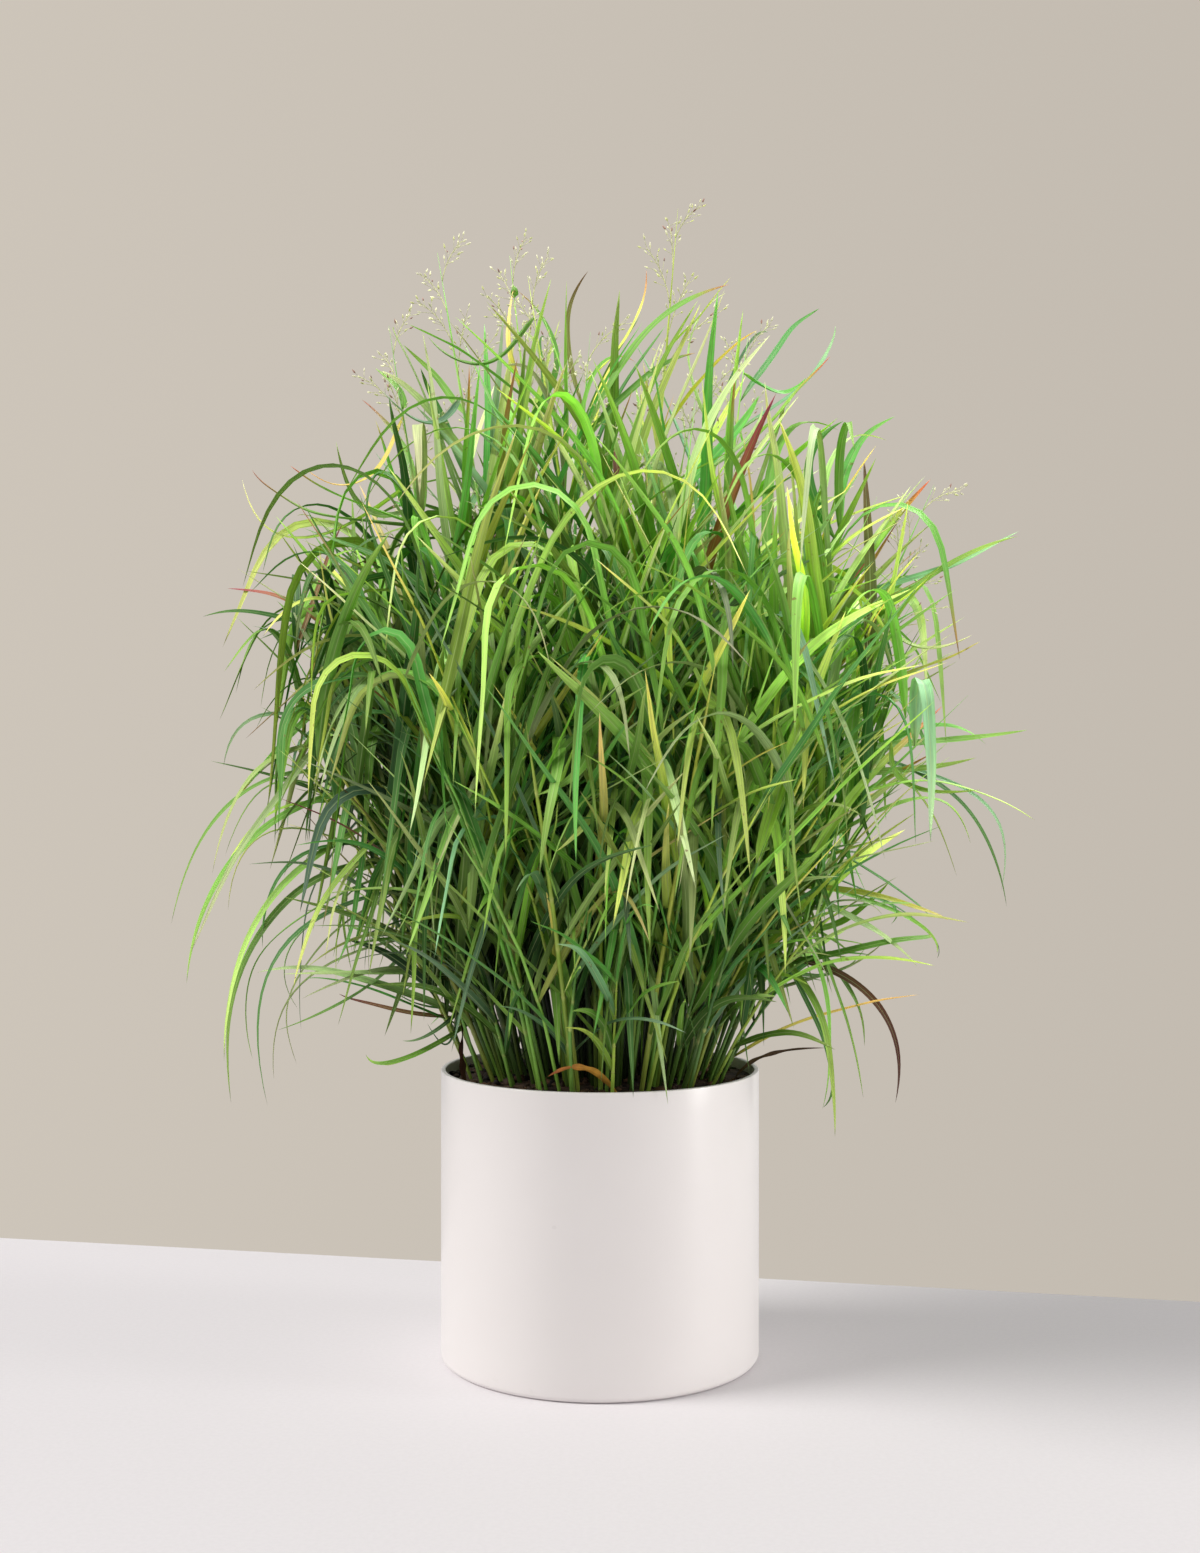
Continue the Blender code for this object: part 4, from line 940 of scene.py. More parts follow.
def pick_tone(draw, blade, grass):
    """A blade's tone: by name where one is set, else drawn with shares between the inner and the outer ones.

    The outer shares count by the larger of how high and how far out the tip is, each as a smooth step. Low
    blades in the middle have no brown in them.
    """
    if "tone" in blade:
        return blade["tone"]
    x, y, z = blade["path"][-1]
    high, far = smooth(*HIGH_TIPS, z), smooth(*FAR_TIPS, math.hypot(x, y))
    run = max(HIGH_PART * high, FAR_PART * far, float(high * far))
    shares = (1 - run) * TONE_SHARES_INSIDE + run * TONE_SHARES_OUTSIDE
    # Painted light: pale and yellow tones are picked more at the upper right
    lit = smooth(*LIT_TIPS_ACROSS, x) * smooth(*LIT_TIPS_UP, z)
    shares[PAINTED_LIGHT_TONES] += LIT_PART * lit * grass.painted_sun
    if abs(x) < GREEN_HALF_WIDTH and z < GREEN_HEIGHT:
        shares[BROWN_TONES] = 0.0
    if blade.get("arched"):
        shares[ARCHED_LACK] = 0.0
    if blade.get("hangs"):
        shares[HANGING_LACK] = 0.0
    return TONE_NAMES[draw.choice(len(TONE_NAMES), p=shares / shares.sum())]


def painted_light(points, grass):
    """Painted light and shade on the grass at each point, as rows of factors for red, green and blue.

    Painted shade makes it dark and deep green inside the clump, and painted light makes it paler outside,
    high, in front and at the right. Outness is the distance from the axis over the clump's reach at that
    height. Each part is a smooth step times its light.
    """
    x, y, z = points.T
    outness = np.hypot(x, y) / np.interp(z, REACH_HEIGHTS, REACH_RADII)
    crown = smooth(*CROWN_RISE, z)
    outer = np.maximum(smooth(*OUTER_RISE, outness), crown)
    sunny = smooth(*SUNNY_ACROSS, x) * smooth(*SUNNY_UP, z) * grass.painted_sun
    fringe = smooth(*FRINGE_RISE, outness)
    front = smooth(*FRONT_RISE, -y) * smooth(*FRONT_UP, z)
    light = DEEPEST_LIGHT + BASE_LIGHT * smooth(*BASE_RISE, z) + OUTER_LIGHT * outer**OUTER_POWER
    light = light + SUNNY_LIGHT * sunny + FRINGE_LIGHT * fringe + CROWN_LIGHT * crown + FRONT_LIGHT * front
    inside, painted_sun = (1 - outer)[:, None], smooth(*PAINTED_SUN_RISE, light)[:, None]
    return light[:, None] * (1 - (1 - PAINTED_SHADE_TINT) * inside) * (1 + PAINTED_SUN_TINT * painted_sun)


def softened(colours):
    """Colours held below what a leaf can reflect: each over 1 plus a part of its largest channel."""
    return BRIGHTENING * colours / (1 + SOFTENING * colours.max(axis=-1, keepdims=True))


def blade_colours(draw, tone, shares):
    """Colours along a blade: its body's, a paler base, and its tip's by a smooth step, at a drawn brightness.

    The lower face is a tenth paler than the upper one.
    """
    body, tip, start, amount = TONES[tone]
    light = math.exp(draw.normal(0.0, BRIGHTNESS_SPREAD))
    warm = np.array([1.0 + draw.uniform(*RED_SPREAD), 1.0, 1.0 + draw.uniform(*BLUE_SPREAD)])
    mix = (smooth(start + draw.uniform(*TIP_START_SPREAD), 1.0, shares) * amount)[:, None]
    along_blade = linear(body) * (1 - mix) + linear(tip) * mix
    pale = (PALE_BASE_PART * (1 - smooth(0.0, PALE_BASE_END, shares)))[:, None]
    along_blade = (along_blade * (1 - pale) + linear(PALE_BASE) * pale) * light * warm
    under = np.where(RING_FACE < 0, UNDERSIDE_LIGHT, 1.0)[None, :, None]
    return along_blade[:, None, :] * under


def add_blade(sheaf, blade, grass):
    """Add one fine blade: a sheet folded along its midrib, that opens from the culm and tapers to its point.

    Its half width is w / 2 times (c + (1 - c)(1 - e^(-s / o))) times (1 - s^2.4)^0.85, with c the width
    held at the collar. Each half stands up by the fold, which falls from the base's as e^(-s / f) to the
    blade's own. The margins ripple, the midrib stands out below, and the centre line sways by sin(pi s)
    times two slow waves. A listed blade that points sideways is turned to the front.
    """
    draw = np.random.default_rng(blade["seed"] + [BLADE_SEED])
    steps = LANDMARK_STEPS if "landmark" in blade else RULED_STEPS
    shares = np.linspace(0, 1, steps + 1)[:-1]
    roll = blade["roll"] + (FRONT_TURN * math.cos(blade["azimuth"]) if "tone" in blade else 0.0)
    centre, side, normal = blade_rail(blade["path"], shares, blade["azimuth"], roll, blade["twist"])
    length = np.linalg.norm(np.diff(blade["path"], axis=0), axis=1).sum()
    half = blade["width"] / 2 * (COLLAR_WIDTH + (1 - COLLAR_WIDTH) * (1 - np.exp(-shares / OPENING_SHARE)))
    half = half * (1 - shares**TAPER_POWER) ** TAPER_ROOT
    flat_fold = math.radians(grass.fold) * draw.uniform(*FOLD_SPREAD)
    fold = flat_fold + (BASE_FOLD - flat_fold) * np.exp(-shares / FOLD_FALL)
    sway = length * draw.uniform(*SWAYS) * np.sin(math.pi * shares)
    phases = draw.uniform(0, 2 * math.pi, 4)
    centre = centre + side * (sway * np.sin(shares * draw.uniform(*SIDE_SWAY_WAVES) + phases[0]))[:, None]
    centre = centre + normal * (sway * np.sin(shares * draw.uniform(*LIFT_SWAY_WAVES) + phases[1]))[:, None]
    ripple = draw.uniform(*RIPPLES) * np.sin(shares * draw.uniform(*RIPPLE_WAVES) + phases[2])
    ripple = ripple * smooth(*RIPPLE_RISE, shares)
    t = RING_ACROSS[None, :]
    half, fold, ripple = half[:, None], fold[:, None], ripple[:, None]
    rib = RIB_DEPTH * smooth(0, RIB_FULL_SHARE, half / RIB_HALF_WIDTH)
    lift = half * np.abs(t) * np.sin(fold) + half * ripple * t * np.abs(t)
    lift = lift + RING_FACE * SHEET_THICKNESS - (RING_FACE < 0) * (t == 0) * rib
    across = half * t * np.cos(fold)
    rings = centre[:, None] + side[:, None] * across[..., None] + normal[:, None] * lift[..., None]
    tone = pick_tone(draw, blade, grass)
    # Painted shade darkens an arched blade, and the clump's painted light and shade multiply the colour
    shade = ARCHED_PAINTED_SHADE if blade.get("arched") else 1.0
    colours = softened(blade_colours(draw, tone, shares) * painted_light(centre, grass)[:, None] * shade)
    chance = draw.uniform(0, 100)
    places = np.stack(np.broadcast_arrays(t, (shares * length)[:, None], chance), axis=-1)
    sheaf.add(rings, centre[0], blade["path"][-1], colours, places, LEAF_FINISH, margin=RING_MARGINS)


def square_to(direction):
    """Two vectors square to a direction: it is crossed with one near the y axis, then with the result."""
    first = unit(np.cross(direction, np.array([0.0, 1.0, 0.05])))
    return first, np.cross(direction, first)


def tube_rings(centres, radii, sides):
    """Rings of points round a line: centres plus the radius times cosine and sine of two square vectors."""
    first, second = square_to(unit(np.gradient(centres, axis=0)))
    angle = (np.arange(sides) * 2 * math.pi / sides)[None, :, None]
    round_about = np.cos(angle) * first[:, None] + np.sin(angle) * second[:, None]
    return centres[:, None] + np.asarray(radii)[:, None, None] * round_about


def culm_radii(shares, radii, collars, nodes):
    """Radii along a culm: they narrow evenly, with a sheath under each collar and a swollen node above it.

    A sheath's thickness grows evenly from the node to the next collar and ends there in a step. A node's
    swelling is a bell curve. The last part is a rolled young leaf, whose radius falls as a power of the
    smooth step.
    """
    radius = radii[0] + (radii[1] - radii[0]) * shares
    below = np.searchsorted(collars, shares)
    edges = np.concatenate([[0.0], collars, [1.0]])
    grown = (shares - edges[below]) / np.maximum(edges[below + 1] - edges[below], 1e-6)
    sheath = np.where(below < len(collars), SHEATH_LOW + (1 - SHEATH_LOW) * grown, 0.0)
    radius = radius + SHEATH_STEP * sheath
    for node in nodes:
        radius = radius + NODE_SWELL * np.exp(-(((shares - node) / NODE_WIDTH) ** 2))
    return radius * (1 - smooth(SPEAR_SHARE, 1.0, shares) ** SPEAR_POWER * SPEAR_LOSS)


def add_culm(sheaf, draw, foot, line, radii, collars, grass):
    """Add one culm: a jointed tube from its foot in the soil, paler at its foot and ringed at its nodes."""
    collars = np.sort(np.array([c for c in collars if COLLARS_FROM < c < COLLARS_TO]))
    nodes = collars + NODE_ABOVE_COLLAR
    near = np.concatenate([collars - COLLAR_EDGE, collars + COLLAR_EDGE, nodes, nodes + NODE_TOP])
    shares = np.unique(np.concatenate([np.linspace(0, 1, CULM_RINGS), near]).clip(0, 1))
    centres = np.vstack([foot, at_shares(line, shares)])
    radius = np.concatenate([[radii[0]], culm_radii(shares, radii, collars, nodes)])
    rings = tube_rings(centres, radius, CULM_SIDES)
    body = linear(CULM_TONES[draw.choice(len(CULM_TONES), p=CULM_TONE_SHARES)])
    light = math.exp(draw.normal(*CULM_BRIGHTNESS))
    up = smooth(0.0, CULM_FOOT_END, shares)[:, None]
    low = CULM_FOOT_PART * (1 - up)
    colours = (linear(CULM_FOOT) * low + body * (1 - low)) * light
    ringed = np.exp(-(((shares[:, None] - nodes[None, :]) / NODE_RING) ** 2)).max(axis=1, initial=0)[:, None]
    colours = colours * (1 - NODE_RING_PART * ringed) + linear(NODE_COLOUR) * NODE_RING_PART * ringed
    # The clump's painted light and shade multiply the culm's colour
    colours = softened(colours * painted_light(centres[1:], grass))
    colours = np.vstack([colours[:1] * BURIED_LIGHT, colours])[:, None, :]
    length = np.concatenate([[BURIED_PLACE], shares * np.linalg.norm(line[-1] - line[0])])
    around = np.arange(CULM_SIDES) / CULM_SIDES
    places = np.stack(np.broadcast_arrays(around[None, :], length[:, None], draw.uniform(0, 100)), axis=-1)
    sheaf.add(rings, centres[0], centres[-1], colours, places, CULM_FINISH)


def add_spikelets(sheaf, draw, path, heads, grass):
    """Add the fine end of a flower branch: a hair-thin stalk on its path, and pedicels with spikelets.

    A pedicel leaves the branch at a third to a half of a right angle, turned by the golden angle from one
    to the next. A spikelet is three rings and two points, widest a third of the way up.
    """
    shares = np.linspace(0, 1, STALK_RINGS)
    centres = at_shares(path, shares)
    straw = linear(STALK_TONE) * draw.uniform(*TINT_SPREAD)
    rings = tube_rings(centres, STALK_RADIUS - STALK_NARROWING * shares, 4)
    stalk_places = np.stack(np.broadcast_arrays(0.0, shares[:, None] * np.ones(4), 0.0), axis=-1)
    sheaf.add(rings, centres[0], centres[-1], straw, stalk_places, PANICLE_FINISH)
    tangent = unit(centres[-1] - centres[0])
    first, second = square_to(tangent)
    for head in range(heads):
        share = PEDICELS_FROM + (1 - PEDICELS_FROM) * head / max(1, heads - 1)
        turn = head * GOLDEN_ANGLE + draw.uniform(-PEDICEL_TURN, PEDICEL_TURN)
        spread = draw.uniform(*PEDICEL_ANGLES) * (LAST_PEDICEL if head == heads - 1 else 1.0)
        sideways = first * math.cos(turn) + second * math.sin(turn)
        aim = tangent * math.cos(spread) + sideways * math.sin(spread)
        reach = draw.uniform(*PEDICEL_LENGTHS) * (PEDICEL_SHORTENING[0] - PEDICEL_SHORTENING[1] * share)
        root = along(path, min(share, 0.999))
        tip = root + aim * reach + np.array([0, 0, -PEDICEL_SAG * reach])
        stalk = np.stack([root, (root + tip) / 2 + aim * PEDICEL_BOW * reach, tip])
        stalk_rings = tube_rings(stalk, np.full(3, PEDICEL_RADIUS), 3)
        sheaf.add(stalk_rings, root, tip, straw, np.zeros(3), PANICLE_FINISH)
        size = grass.spikelet * draw.uniform(*SPIKELET_SIZES)
        body = np.stack([tip + aim * size * height for height in SPIKELET_HEIGHTS])
        tint = linear(SPIKELET_TONES[draw.choice(3, p=SPIKELET_TONE_SHARES)]) * draw.uniform(*TINT_SPREAD)
        skin = tube_rings(body, size * SPIKELET_RADII, 5)
        sheaf.add(skin, tip, tip + aim * size, tint, np.ones(3), PANICLE_FINISH)


def shoot_line(draw, line, reach, turn):
    """The line of a side shoot beside a culm: its foot a little way off, and its top near the culm's own."""
    foot, heading, curve = line
    root = foot + heading * CULM_DEPTH
    azimuth = math.atan2(root[1], root[0]) + turn
    gap = draw.uniform(*SHOOT_GAPS)
    root = root + gap * np.array([math.cos(azimuth), math.sin(azimuth), 0.0])
    distance = math.hypot(root[0], root[1])
    root[:2] *= min(1.0, SHOOT_LIMIT / distance)
    root[2] = soil_level(min(distance, SHOOT_LIMIT))
    outward = unit(np.array([root[0], root[1], 0.0]))
    top = root + (curve[-1] - curve[0]) * reach * draw.uniform(*SHOOT_REACHES)
    spread = SHOOT_SPREAD + SHOOT_SPREAD_OUTSIDE * distance
    top = top + np.array([draw.uniform(-spread, spread), draw.uniform(-spread, spread), 0.0])
    lean = MIDDLE_LEAN + (OUTER_LEAN - MIDDLE_LEAN) * min(1.0, distance / ROOT_DISC_RADIUS)
    return culm_line(root, outward, lean * draw.uniform(*SHOOT_LEANS), top)


def first_blade(seed, draws):
    """The first draw that gives a blade, with its seed, in a list, or an empty list where none does."""
    blade = next((blade for blade in draws if blade), None)
    return [dict(blade, seed=seed)] if blade else []


def drawn_leaves(seed, line, leaves):
    """A blade for each leaf of a shoot without a solid: the first draw that stays in the clump's shape."""
    blades = []
    for leaf in leaves:
        tries = ([*seed, leaf, attempt] for attempt in range(SHOOT_TRIES))
        draws = (side_blade(np.random.default_rng(attempt), leaf, line) for attempt in tries)
        blades += first_blade([*seed, leaf], draws)
    return blades


def neighbours(blade, line, draw):
    """Slimmer blades beside a listed one, from lower or higher on its culm: its bow moved by draws.

    There are three beside a blade that hangs at the left, and two beside any other that reaches far out.
    """
    middle, tip = blade["path"][PATH_STEPS // 2], blade["path"][-1]
    hangs_left = tip[0] < HANGS_LEFT_OF and tip[2] < HANGS_LEFT_BELOW
    grown = []
    for number in range(3 if hangs_left else 2 if math.hypot(tip[0], tip[1]) > FAR_TIP else 1):
        share = min(max(blade["share"] + draw.uniform(*NEIGHBOUR_SHARES), LOWEST_LEAF), HIGHEST_LEAF)
        start = along(line, share)
        shift = draw.normal(size=3) * NEIGHBOUR_SPREAD
        shortened = draw.uniform(*NEIGHBOUR_LENGTHS)
        end = start + (np.clip(tip + shift, LOWEST_TIP, HIGHEST_TIP) - start) * shortened
        crown = middle + NEIGHBOUR_CROWN_SHIFT * shift + draw.normal(size=3) * NEIGHBOUR_CROWN_SPREAD
        path = bow(start, start + (crown - start) * shortened, end, PATH_STEPS + 1)
        azimuth = math.atan2(end[1] - start[1], end[0] - start[0])
        roll, twist = draw.uniform(-LANDMARK_TURN, LANDMARK_TURN, 2)
        roll += FRONT_TURN * math.cos(azimuth)
        width = blade["width"] * draw.uniform(*NEIGHBOUR_WIDTHS)
        made = dict(path=path, azimuth=azimuth, roll=roll, twist=twist, width=width, share=share)
        grown.append(dict(made, seed=blade["seed"] + [number]))
    return grown


def grow_side_shoot(sheaf, clump, culm, shoot, grass):
    """Add one side shoot of a culm: its line, its blades, and a small flower head where the culm has one."""
    flowering = culm < len(FLOWER_TOPS)
    seed = [SEED, SHOOT_SEED + culm, shoot]
    draw = np.random.default_rng(seed)
    turn = shoot * SHOOT_TURN + draw.uniform(-SHOOT_TURN_SPREAD, SHOOT_TURN_SPREAD)
    foot, _, curve = shoot_line(draw, clump.lines[culm], FLOWERING_REACH if flowering else 1.0, turn)
    crown = CROWN_LEAVES if curve[-1, 2] > CROWN_HEIGHT else 0
    leaves = range(1, LEAVES_PER_CULM + crown)
    kept = [leaf for leaf in leaves if leaf > 1 or draw.random() < LOW_LEAF_CHANCE]
    grown = drawn_leaves(seed, curve, kept)
    for blade in grown:
        add_blade(sheaf, blade, grass)
    add_culm(sheaf, draw, foot, curve, SIDE_SHOOT_RADII, [blade["share"] for blade in grown], grass)
    number = 100 + 10 * culm + shoot
    for branch in range(1, PANICLE_BRANCHES) if flowering else ():
        path = panicle_branch(number, branch, 0, curve)
        branch_draw = np.random.default_rng([SEED, SPIKELET_SEED + number, branch])
        add_spikelets(sheaf, branch_draw, path, grass.spikelets // 2, grass)


def grow_tuft(clump, culm, name, slot, grass, finishes):
    """Make one tuft: a culm of the frame with its blades, its flower head, and the side shoots round it."""
    sheaf = Sheaf()
    foot, _, line = clump.lines[culm]
    draw = np.random.default_rng([SEED, TUFT_SEED + culm])
    blades = list(clump.blades[culm])
    if culm < len(FLOWER_TOPS):
        blades += drawn_leaves([SEED, FLOWERING_LEAF_SEED + culm], line, FLOWERING_EXTRA_LEAVES)
    for blade in blades:
        add_blade(sheaf, blade, grass)
        for near in neighbours(blade, line, draw) if "landmark" in blade else ():
            add_blade(sheaf, near, grass)
    radii = CULM_BASE_RADIUS, CULM_TIP_RADIUS
    add_culm(sheaf, draw, foot, line, radii, [blade["share"] for blade in blades], grass)
    for branch, path in enumerate(clump.branches[culm]):
        branch_draw = np.random.default_rng([SEED, SPIKELET_SEED + culm, branch])
        add_spikelets(sheaf, branch_draw, path, grass.spikelets - branch // 2, grass)
    for shoot in range(grass.side_shoots):
        grow_side_shoot(sheaf, clump, culm, shoot, grass)
    return sheaf.piece(name, slot, [node_name(culm)], finishes)


def flank_blade(draw, line):
    """One draw of a short blade that spreads low over the rim, or None where it would touch the planter."""
    share = draw.uniform(*FLANK_SHARES)
    start = along(line, share)
    azimuth = math.atan2(start[1], start[0]) + draw.uniform(-FLANK_TURN, FLANK_TURN)
    begin = draw.uniform(*FLANK_INCLINES)
    steps = np.linspace(0, 1, PATH_STEPS + 1)
    incline = begin + draw.uniform(*FLANK_SWINGS) * smooth(0.0, 1.0, steps)
    path = grown_path(start, azimuth + 0 * steps, incline, draw.uniform(*FLANK_LENGTHS))
    if path[:, 2].min() < POT_HEIGHT + FLANK_CLEARANCE:
        return None
    roll, width = draw.uniform(-SIDE_ROLL, SIDE_ROLL), draw.uniform(*FLANK_WIDTHS)
    twist = draw.uniform(-TWIST, TWIST)
    return dict(path=path, azimuth=azimuth, roll=roll, twist=twist, width=width, share=share)


def make_basal_shoots(grass, finishes):
    """Short young shoots among the culms' feet, by the golden angle, which fill the clump above the soil."""
    sheaf = Sheaf()
    for index in range(grass.basal_shoots):
        draw = np.random.default_rng([SEED, BASAL_SEED + index])
        distance = BASAL_REACH * math.sqrt((index + 0.5) / grass.basal_shoots)
        distance = distance + draw.uniform(-BASAL_WANDER, BASAL_WANDER)
        azimuth = index * GOLDEN_ANGLE + BASAL_TURN
        outward = np.array([math.cos(azimuth), math.sin(azimuth), 0.0])
        root = abs(distance) * outward + np.array([0, 0, soil_level(abs(distance))])
        lean = OUTER_LEAN * distance / ROOT_DISC_RADIUS * draw.uniform(*BASAL_LEANS)
        rise = draw.uniform(*BASAL_HEIGHTS)
        top = root + rise * (outward * math.tan(lean * LEAN_GAIN) + np.array([0, 0, 1]))
        foot, _, line = culm_line(root, outward, lean, top)
        grown = drawn_leaves([SEED, BASAL_SEED + index], line, range(2, LEAVES_PER_CULM))
        for number in range(grass.flank_blades if distance > FLANK_FROM else 1):
            seed = [SEED, FLANK_SEED + index, number]
            tries = ([*seed, attempt] for attempt in range(FLANK_TRIES))
            grown += first_blade(seed, (flank_blade(np.random.default_rng(t), line) for t in tries))
        for blade in grown:
            add_blade(sheaf, dict(blade, width=BASAL_WIDTH * blade["width"]), grass)
        add_culm(sheaf, draw, foot, line, SIDE_SHOOT_RADII, [blade["share"] for blade in grown], grass)
    return sheaf.piece("basal_shoots", "leaf", [], finishes)


def opaque(code):
    """A colour of six hexadecimal digits as linear red, green, blue and a full alpha."""
    return (*linear(code), 1.0)


class Graph:
    """A material's nodes. Each is added with its properties and its inputs, which are values or sockets."""

    def __init__(self, name):
        """Start a material with its usual shader."""
        self.material = bpy.data.materials.new(name)
        self.material.use_nodes = True
        self.tree = self.material.node_tree
        self.shader = self.tree.nodes["Principled BSDF"]
        self.output = self.tree.nodes["Material Output"]

    def feed(self, node, inputs):
        """Set a node's inputs, by name or by number, to values or to links from sockets."""
        for key, value in inputs.items():
            if isinstance(value, bpy.types.NodeSocket):
                self.tree.links.new(value, node.inputs[key])
            else:
                node.inputs[key].default_value = value

    def add(self, kind, inputs, **properties):
        """Add a node of a kind, such as Math or TexNoise, and return it."""
        made = self.tree.nodes.new(f"ShaderNode{kind}")
        for key, value in properties.items():
            setattr(made, key, value)
        self.feed(made, inputs)
        return made

    def attribute(self, name, output="Vector"):
        """What each point of the mesh carries under a name."""
        return self.add("Attribute", {}, attribute_name=name).outputs[output]

    def grown_colour(self):
        """The colour that each point carries: its own, and on the grass times the painted light and shade."""
        return self.attribute("grown_colour", "Color")

    def grown_place(self):
        """Where each point lies across or round its blade or culm, along it in metres, and its chance."""
        return self.add("SeparateXYZ", {0: self.attribute("grown_place")}).outputs

    def math(self, operation, *values):
        """The result of an operation on one or two numbers."""
        return self.add("Math", dict(enumerate(values)), operation=operation).outputs[0]

    def times(self, first, second):
        """The product of two numbers."""
        return self.math("MULTIPLY", first, second)

    def spread(self, value, source, target):
        """A number moved from one range to another by the smooth step."""
        ends = {"From Min": source[0], "From Max": source[1], "To Min": target[0], "To Max": target[1]}
        node = self.add("MapRange", {"Value": value, **ends}, interpolation_type="SMOOTHSTEP")
        return node.outputs["Result"]

    def noise(self, vector, scale, detail=3.0, roughness=0.55):
        """Noise from 0 to 1 over a vector."""
        inputs = {"Vector": vector, "Scale": scale, "Detail": detail, "Roughness": roughness}
        return self.add("TexNoise", inputs).outputs["Fac"]

    def fibres(self, place, across, along, **texture):
        """Noise along a blade's own lines: its places across and along it are each times a number."""
        drawn = {0: self.times(place[0], across), 1: self.times(place[1], along), 2: place[2]}
        return self.noise(self.add("CombineXYZ", drawn).outputs[0], 1.0, **texture)

    def mix(self, share, first, second, blend="MIX"):
        """Two colours mixed by a share."""
        node = self.add("Mix", {}, data_type="RGBA", blend_type=blend)
        self.feed(node, {0: share, 6: first, 7: second})
        return node.outputs[2]

    def scaled(self, colour, amount):
        """A colour times a number."""
        return self.add("VectorMath", {0: colour, "Scale": amount}, operation="SCALE").outputs[0]

    def shaded(self, colour, value, source, target):
        """A colour times a number that is moved from one range to another."""
        return self.scaled(colour, self.spread(value, source, target))

    def bump(self, height, strength, distance):
        """The normal of a surface raised by a height."""
        inputs = {"Height": height, "Strength": strength, "Distance": distance}
        return self.add("Bump", inputs).outputs["Normal"]

    def objects_place(self):
        """The place on the object, in metres."""
        return self.add("TexCoord", {}).outputs["Object"]

    def shine_through(self, colour, share):
        """Let a share of the light through: the shader is mixed with a Translucent one, for thin leaves."""
        through = self.add("BsdfTranslucent", {"Color": colour})
        mixed = self.add("MixShader", {0: share, 1: self.shader.outputs[0], 2: through.outputs[0]})
        self.tree.links.new(mixed.outputs[0], self.output.inputs["Surface"])

    def finish(self, **inputs):
        """Feed the shader, with its sockets' spaces written as underscores, and return the material."""
        self.feed(self.shader, {key.replace("_", " "): value for key, value in inputs.items()})
        return self.material


def leaf_finish(grass):
    """The blades' finish.

    The colour with its painted light and shade, times slow streaks along the blade and faint parallel
    veins, with a pale midrib and margins, and brown flecks where a noise is high. The veins also raise the
    surface. The light that shines through is yellower.
    """
    graph = Graph("switchgrass_leaf")
    place = graph.grown_place()
    streaks = graph.fibres(place, across=3.0, along=16.0, detail=4.0, roughness=0.6)
    fibres = graph.fibres(place, across=22.0, along=8.0, detail=2.0, roughness=0.5)
    veins = graph.math("SINE", graph.times(place[0], 34.0))
    colour = graph.shaded(graph.grown_colour(), streaks, (0.25, 0.75), (0.74, 1.24))
    colour = graph.shaded(colour, fibres, (0.2, 0.8), (0.90, 1.10))
    colour = graph.shaded(colour, veins, (-1.0, 1.0), (0.95, 1.04))
    from_midrib = graph.math("ABSOLUTE", place[0])
    on_midrib = graph.spread(from_midrib, (0.03, 0.13), (grass.midrib, 0.0))
    on_margin = graph.spread(from_midrib, (0.86, 1.0), (0.0, 0.25))
    colour = graph.mix(on_midrib, colour, opaque("c3d693"))
    colour = graph.mix(on_margin, colour, opaque("b9cf83"))
    flecks = graph.noise(graph.objects_place(), 190.0, detail=2.0, roughness=0.5)
    patches = graph.noise(graph.objects_place(), 11.0, detail=2.0, roughness=0.5)
    flecked = graph.spread(patches, (0.5, 0.62), (0.0, 1.0))
    spots = graph.times(graph.spread(flecks, (0.66, 0.72), (0.0, 0.7)), flecked)
    colour = graph.mix(spots, colour, opaque("8a6a3a"))
    graph.shine_through(graph.mix(1.0, colour, (1.18, 1.06, 0.55, 1.0), "MULTIPLY"), grass.translucency)
    relief = graph.math("ADD", graph.times(veins, 0.5), fibres)
    return graph.finish(
        Base_Color=colour,
        Roughness=graph.spread(streaks, (0.2, 0.8), (0.44, 0.62)),
        Specular_IOR_Level=0.36,
        Normal=graph.bump(relief, strength=0.35, distance=0.0002),
    )


def culm_finish():
    """The culms' finish: the colour with its painted light and shade, fine ribs round it and slow patches
    along it.
    """
    graph = Graph("switchgrass_culm")
    place = graph.grown_place()
    ribs = graph.math("SINE", graph.times(place[0], 2 * math.pi * 9))
    patches = graph.fibres(place, across=1.0, along=22.0)
    colour = graph.shaded(graph.grown_colour(), patches, (0.25, 0.75), (0.75, 1.22))
    colour = graph.shaded(colour, ribs, (-1.0, 1.0), (0.90, 1.06))
    rough = graph.spread(patches, (0.2, 0.8), (0.38, 0.55))
    relief = graph.bump(ribs, strength=0.3, distance=0.0002)
    return graph.finish(Base_Color=colour, Roughness=rough, Normal=relief)


def panicle_finish():
    """The flower heads' finish: the grown colour, mottled, dry and rough, with some light let through."""
    graph = Graph("switchgrass_panicle")
    mottle = graph.noise(graph.objects_place(), 420.0, detail=2.0)
    colour = graph.shaded(graph.grown_colour(), mottle, (0.3, 0.7), (0.8, 1.2))
    graph.shine_through(colour, 0.3)
    return graph.finish(Base_Color=colour, Roughness=0.7)


def dry_finish():
    """The finish of dry leaves and crumbs: the grown colour with strong fibres and dark blotches."""
    graph = Graph("dry_leaf_litter")
    fibres = graph.fibres(graph.grown_place(), across=14.0, along=30.0, detail=4.0, roughness=0.65)
    blotches = graph.noise(graph.objects_place(), 90.0)
    colour = graph.shaded(graph.grown_colour(), fibres, (0.2, 0.8), (0.6, 1.35))
    colour = graph.shaded(colour, blotches, (0.3, 0.7), (0.7, 1.15))
    relief = graph.bump(fibres, strength=0.6, distance=0.0004)
    return graph.finish(Base_Color=colour, Roughness=0.78, Normal=relief)


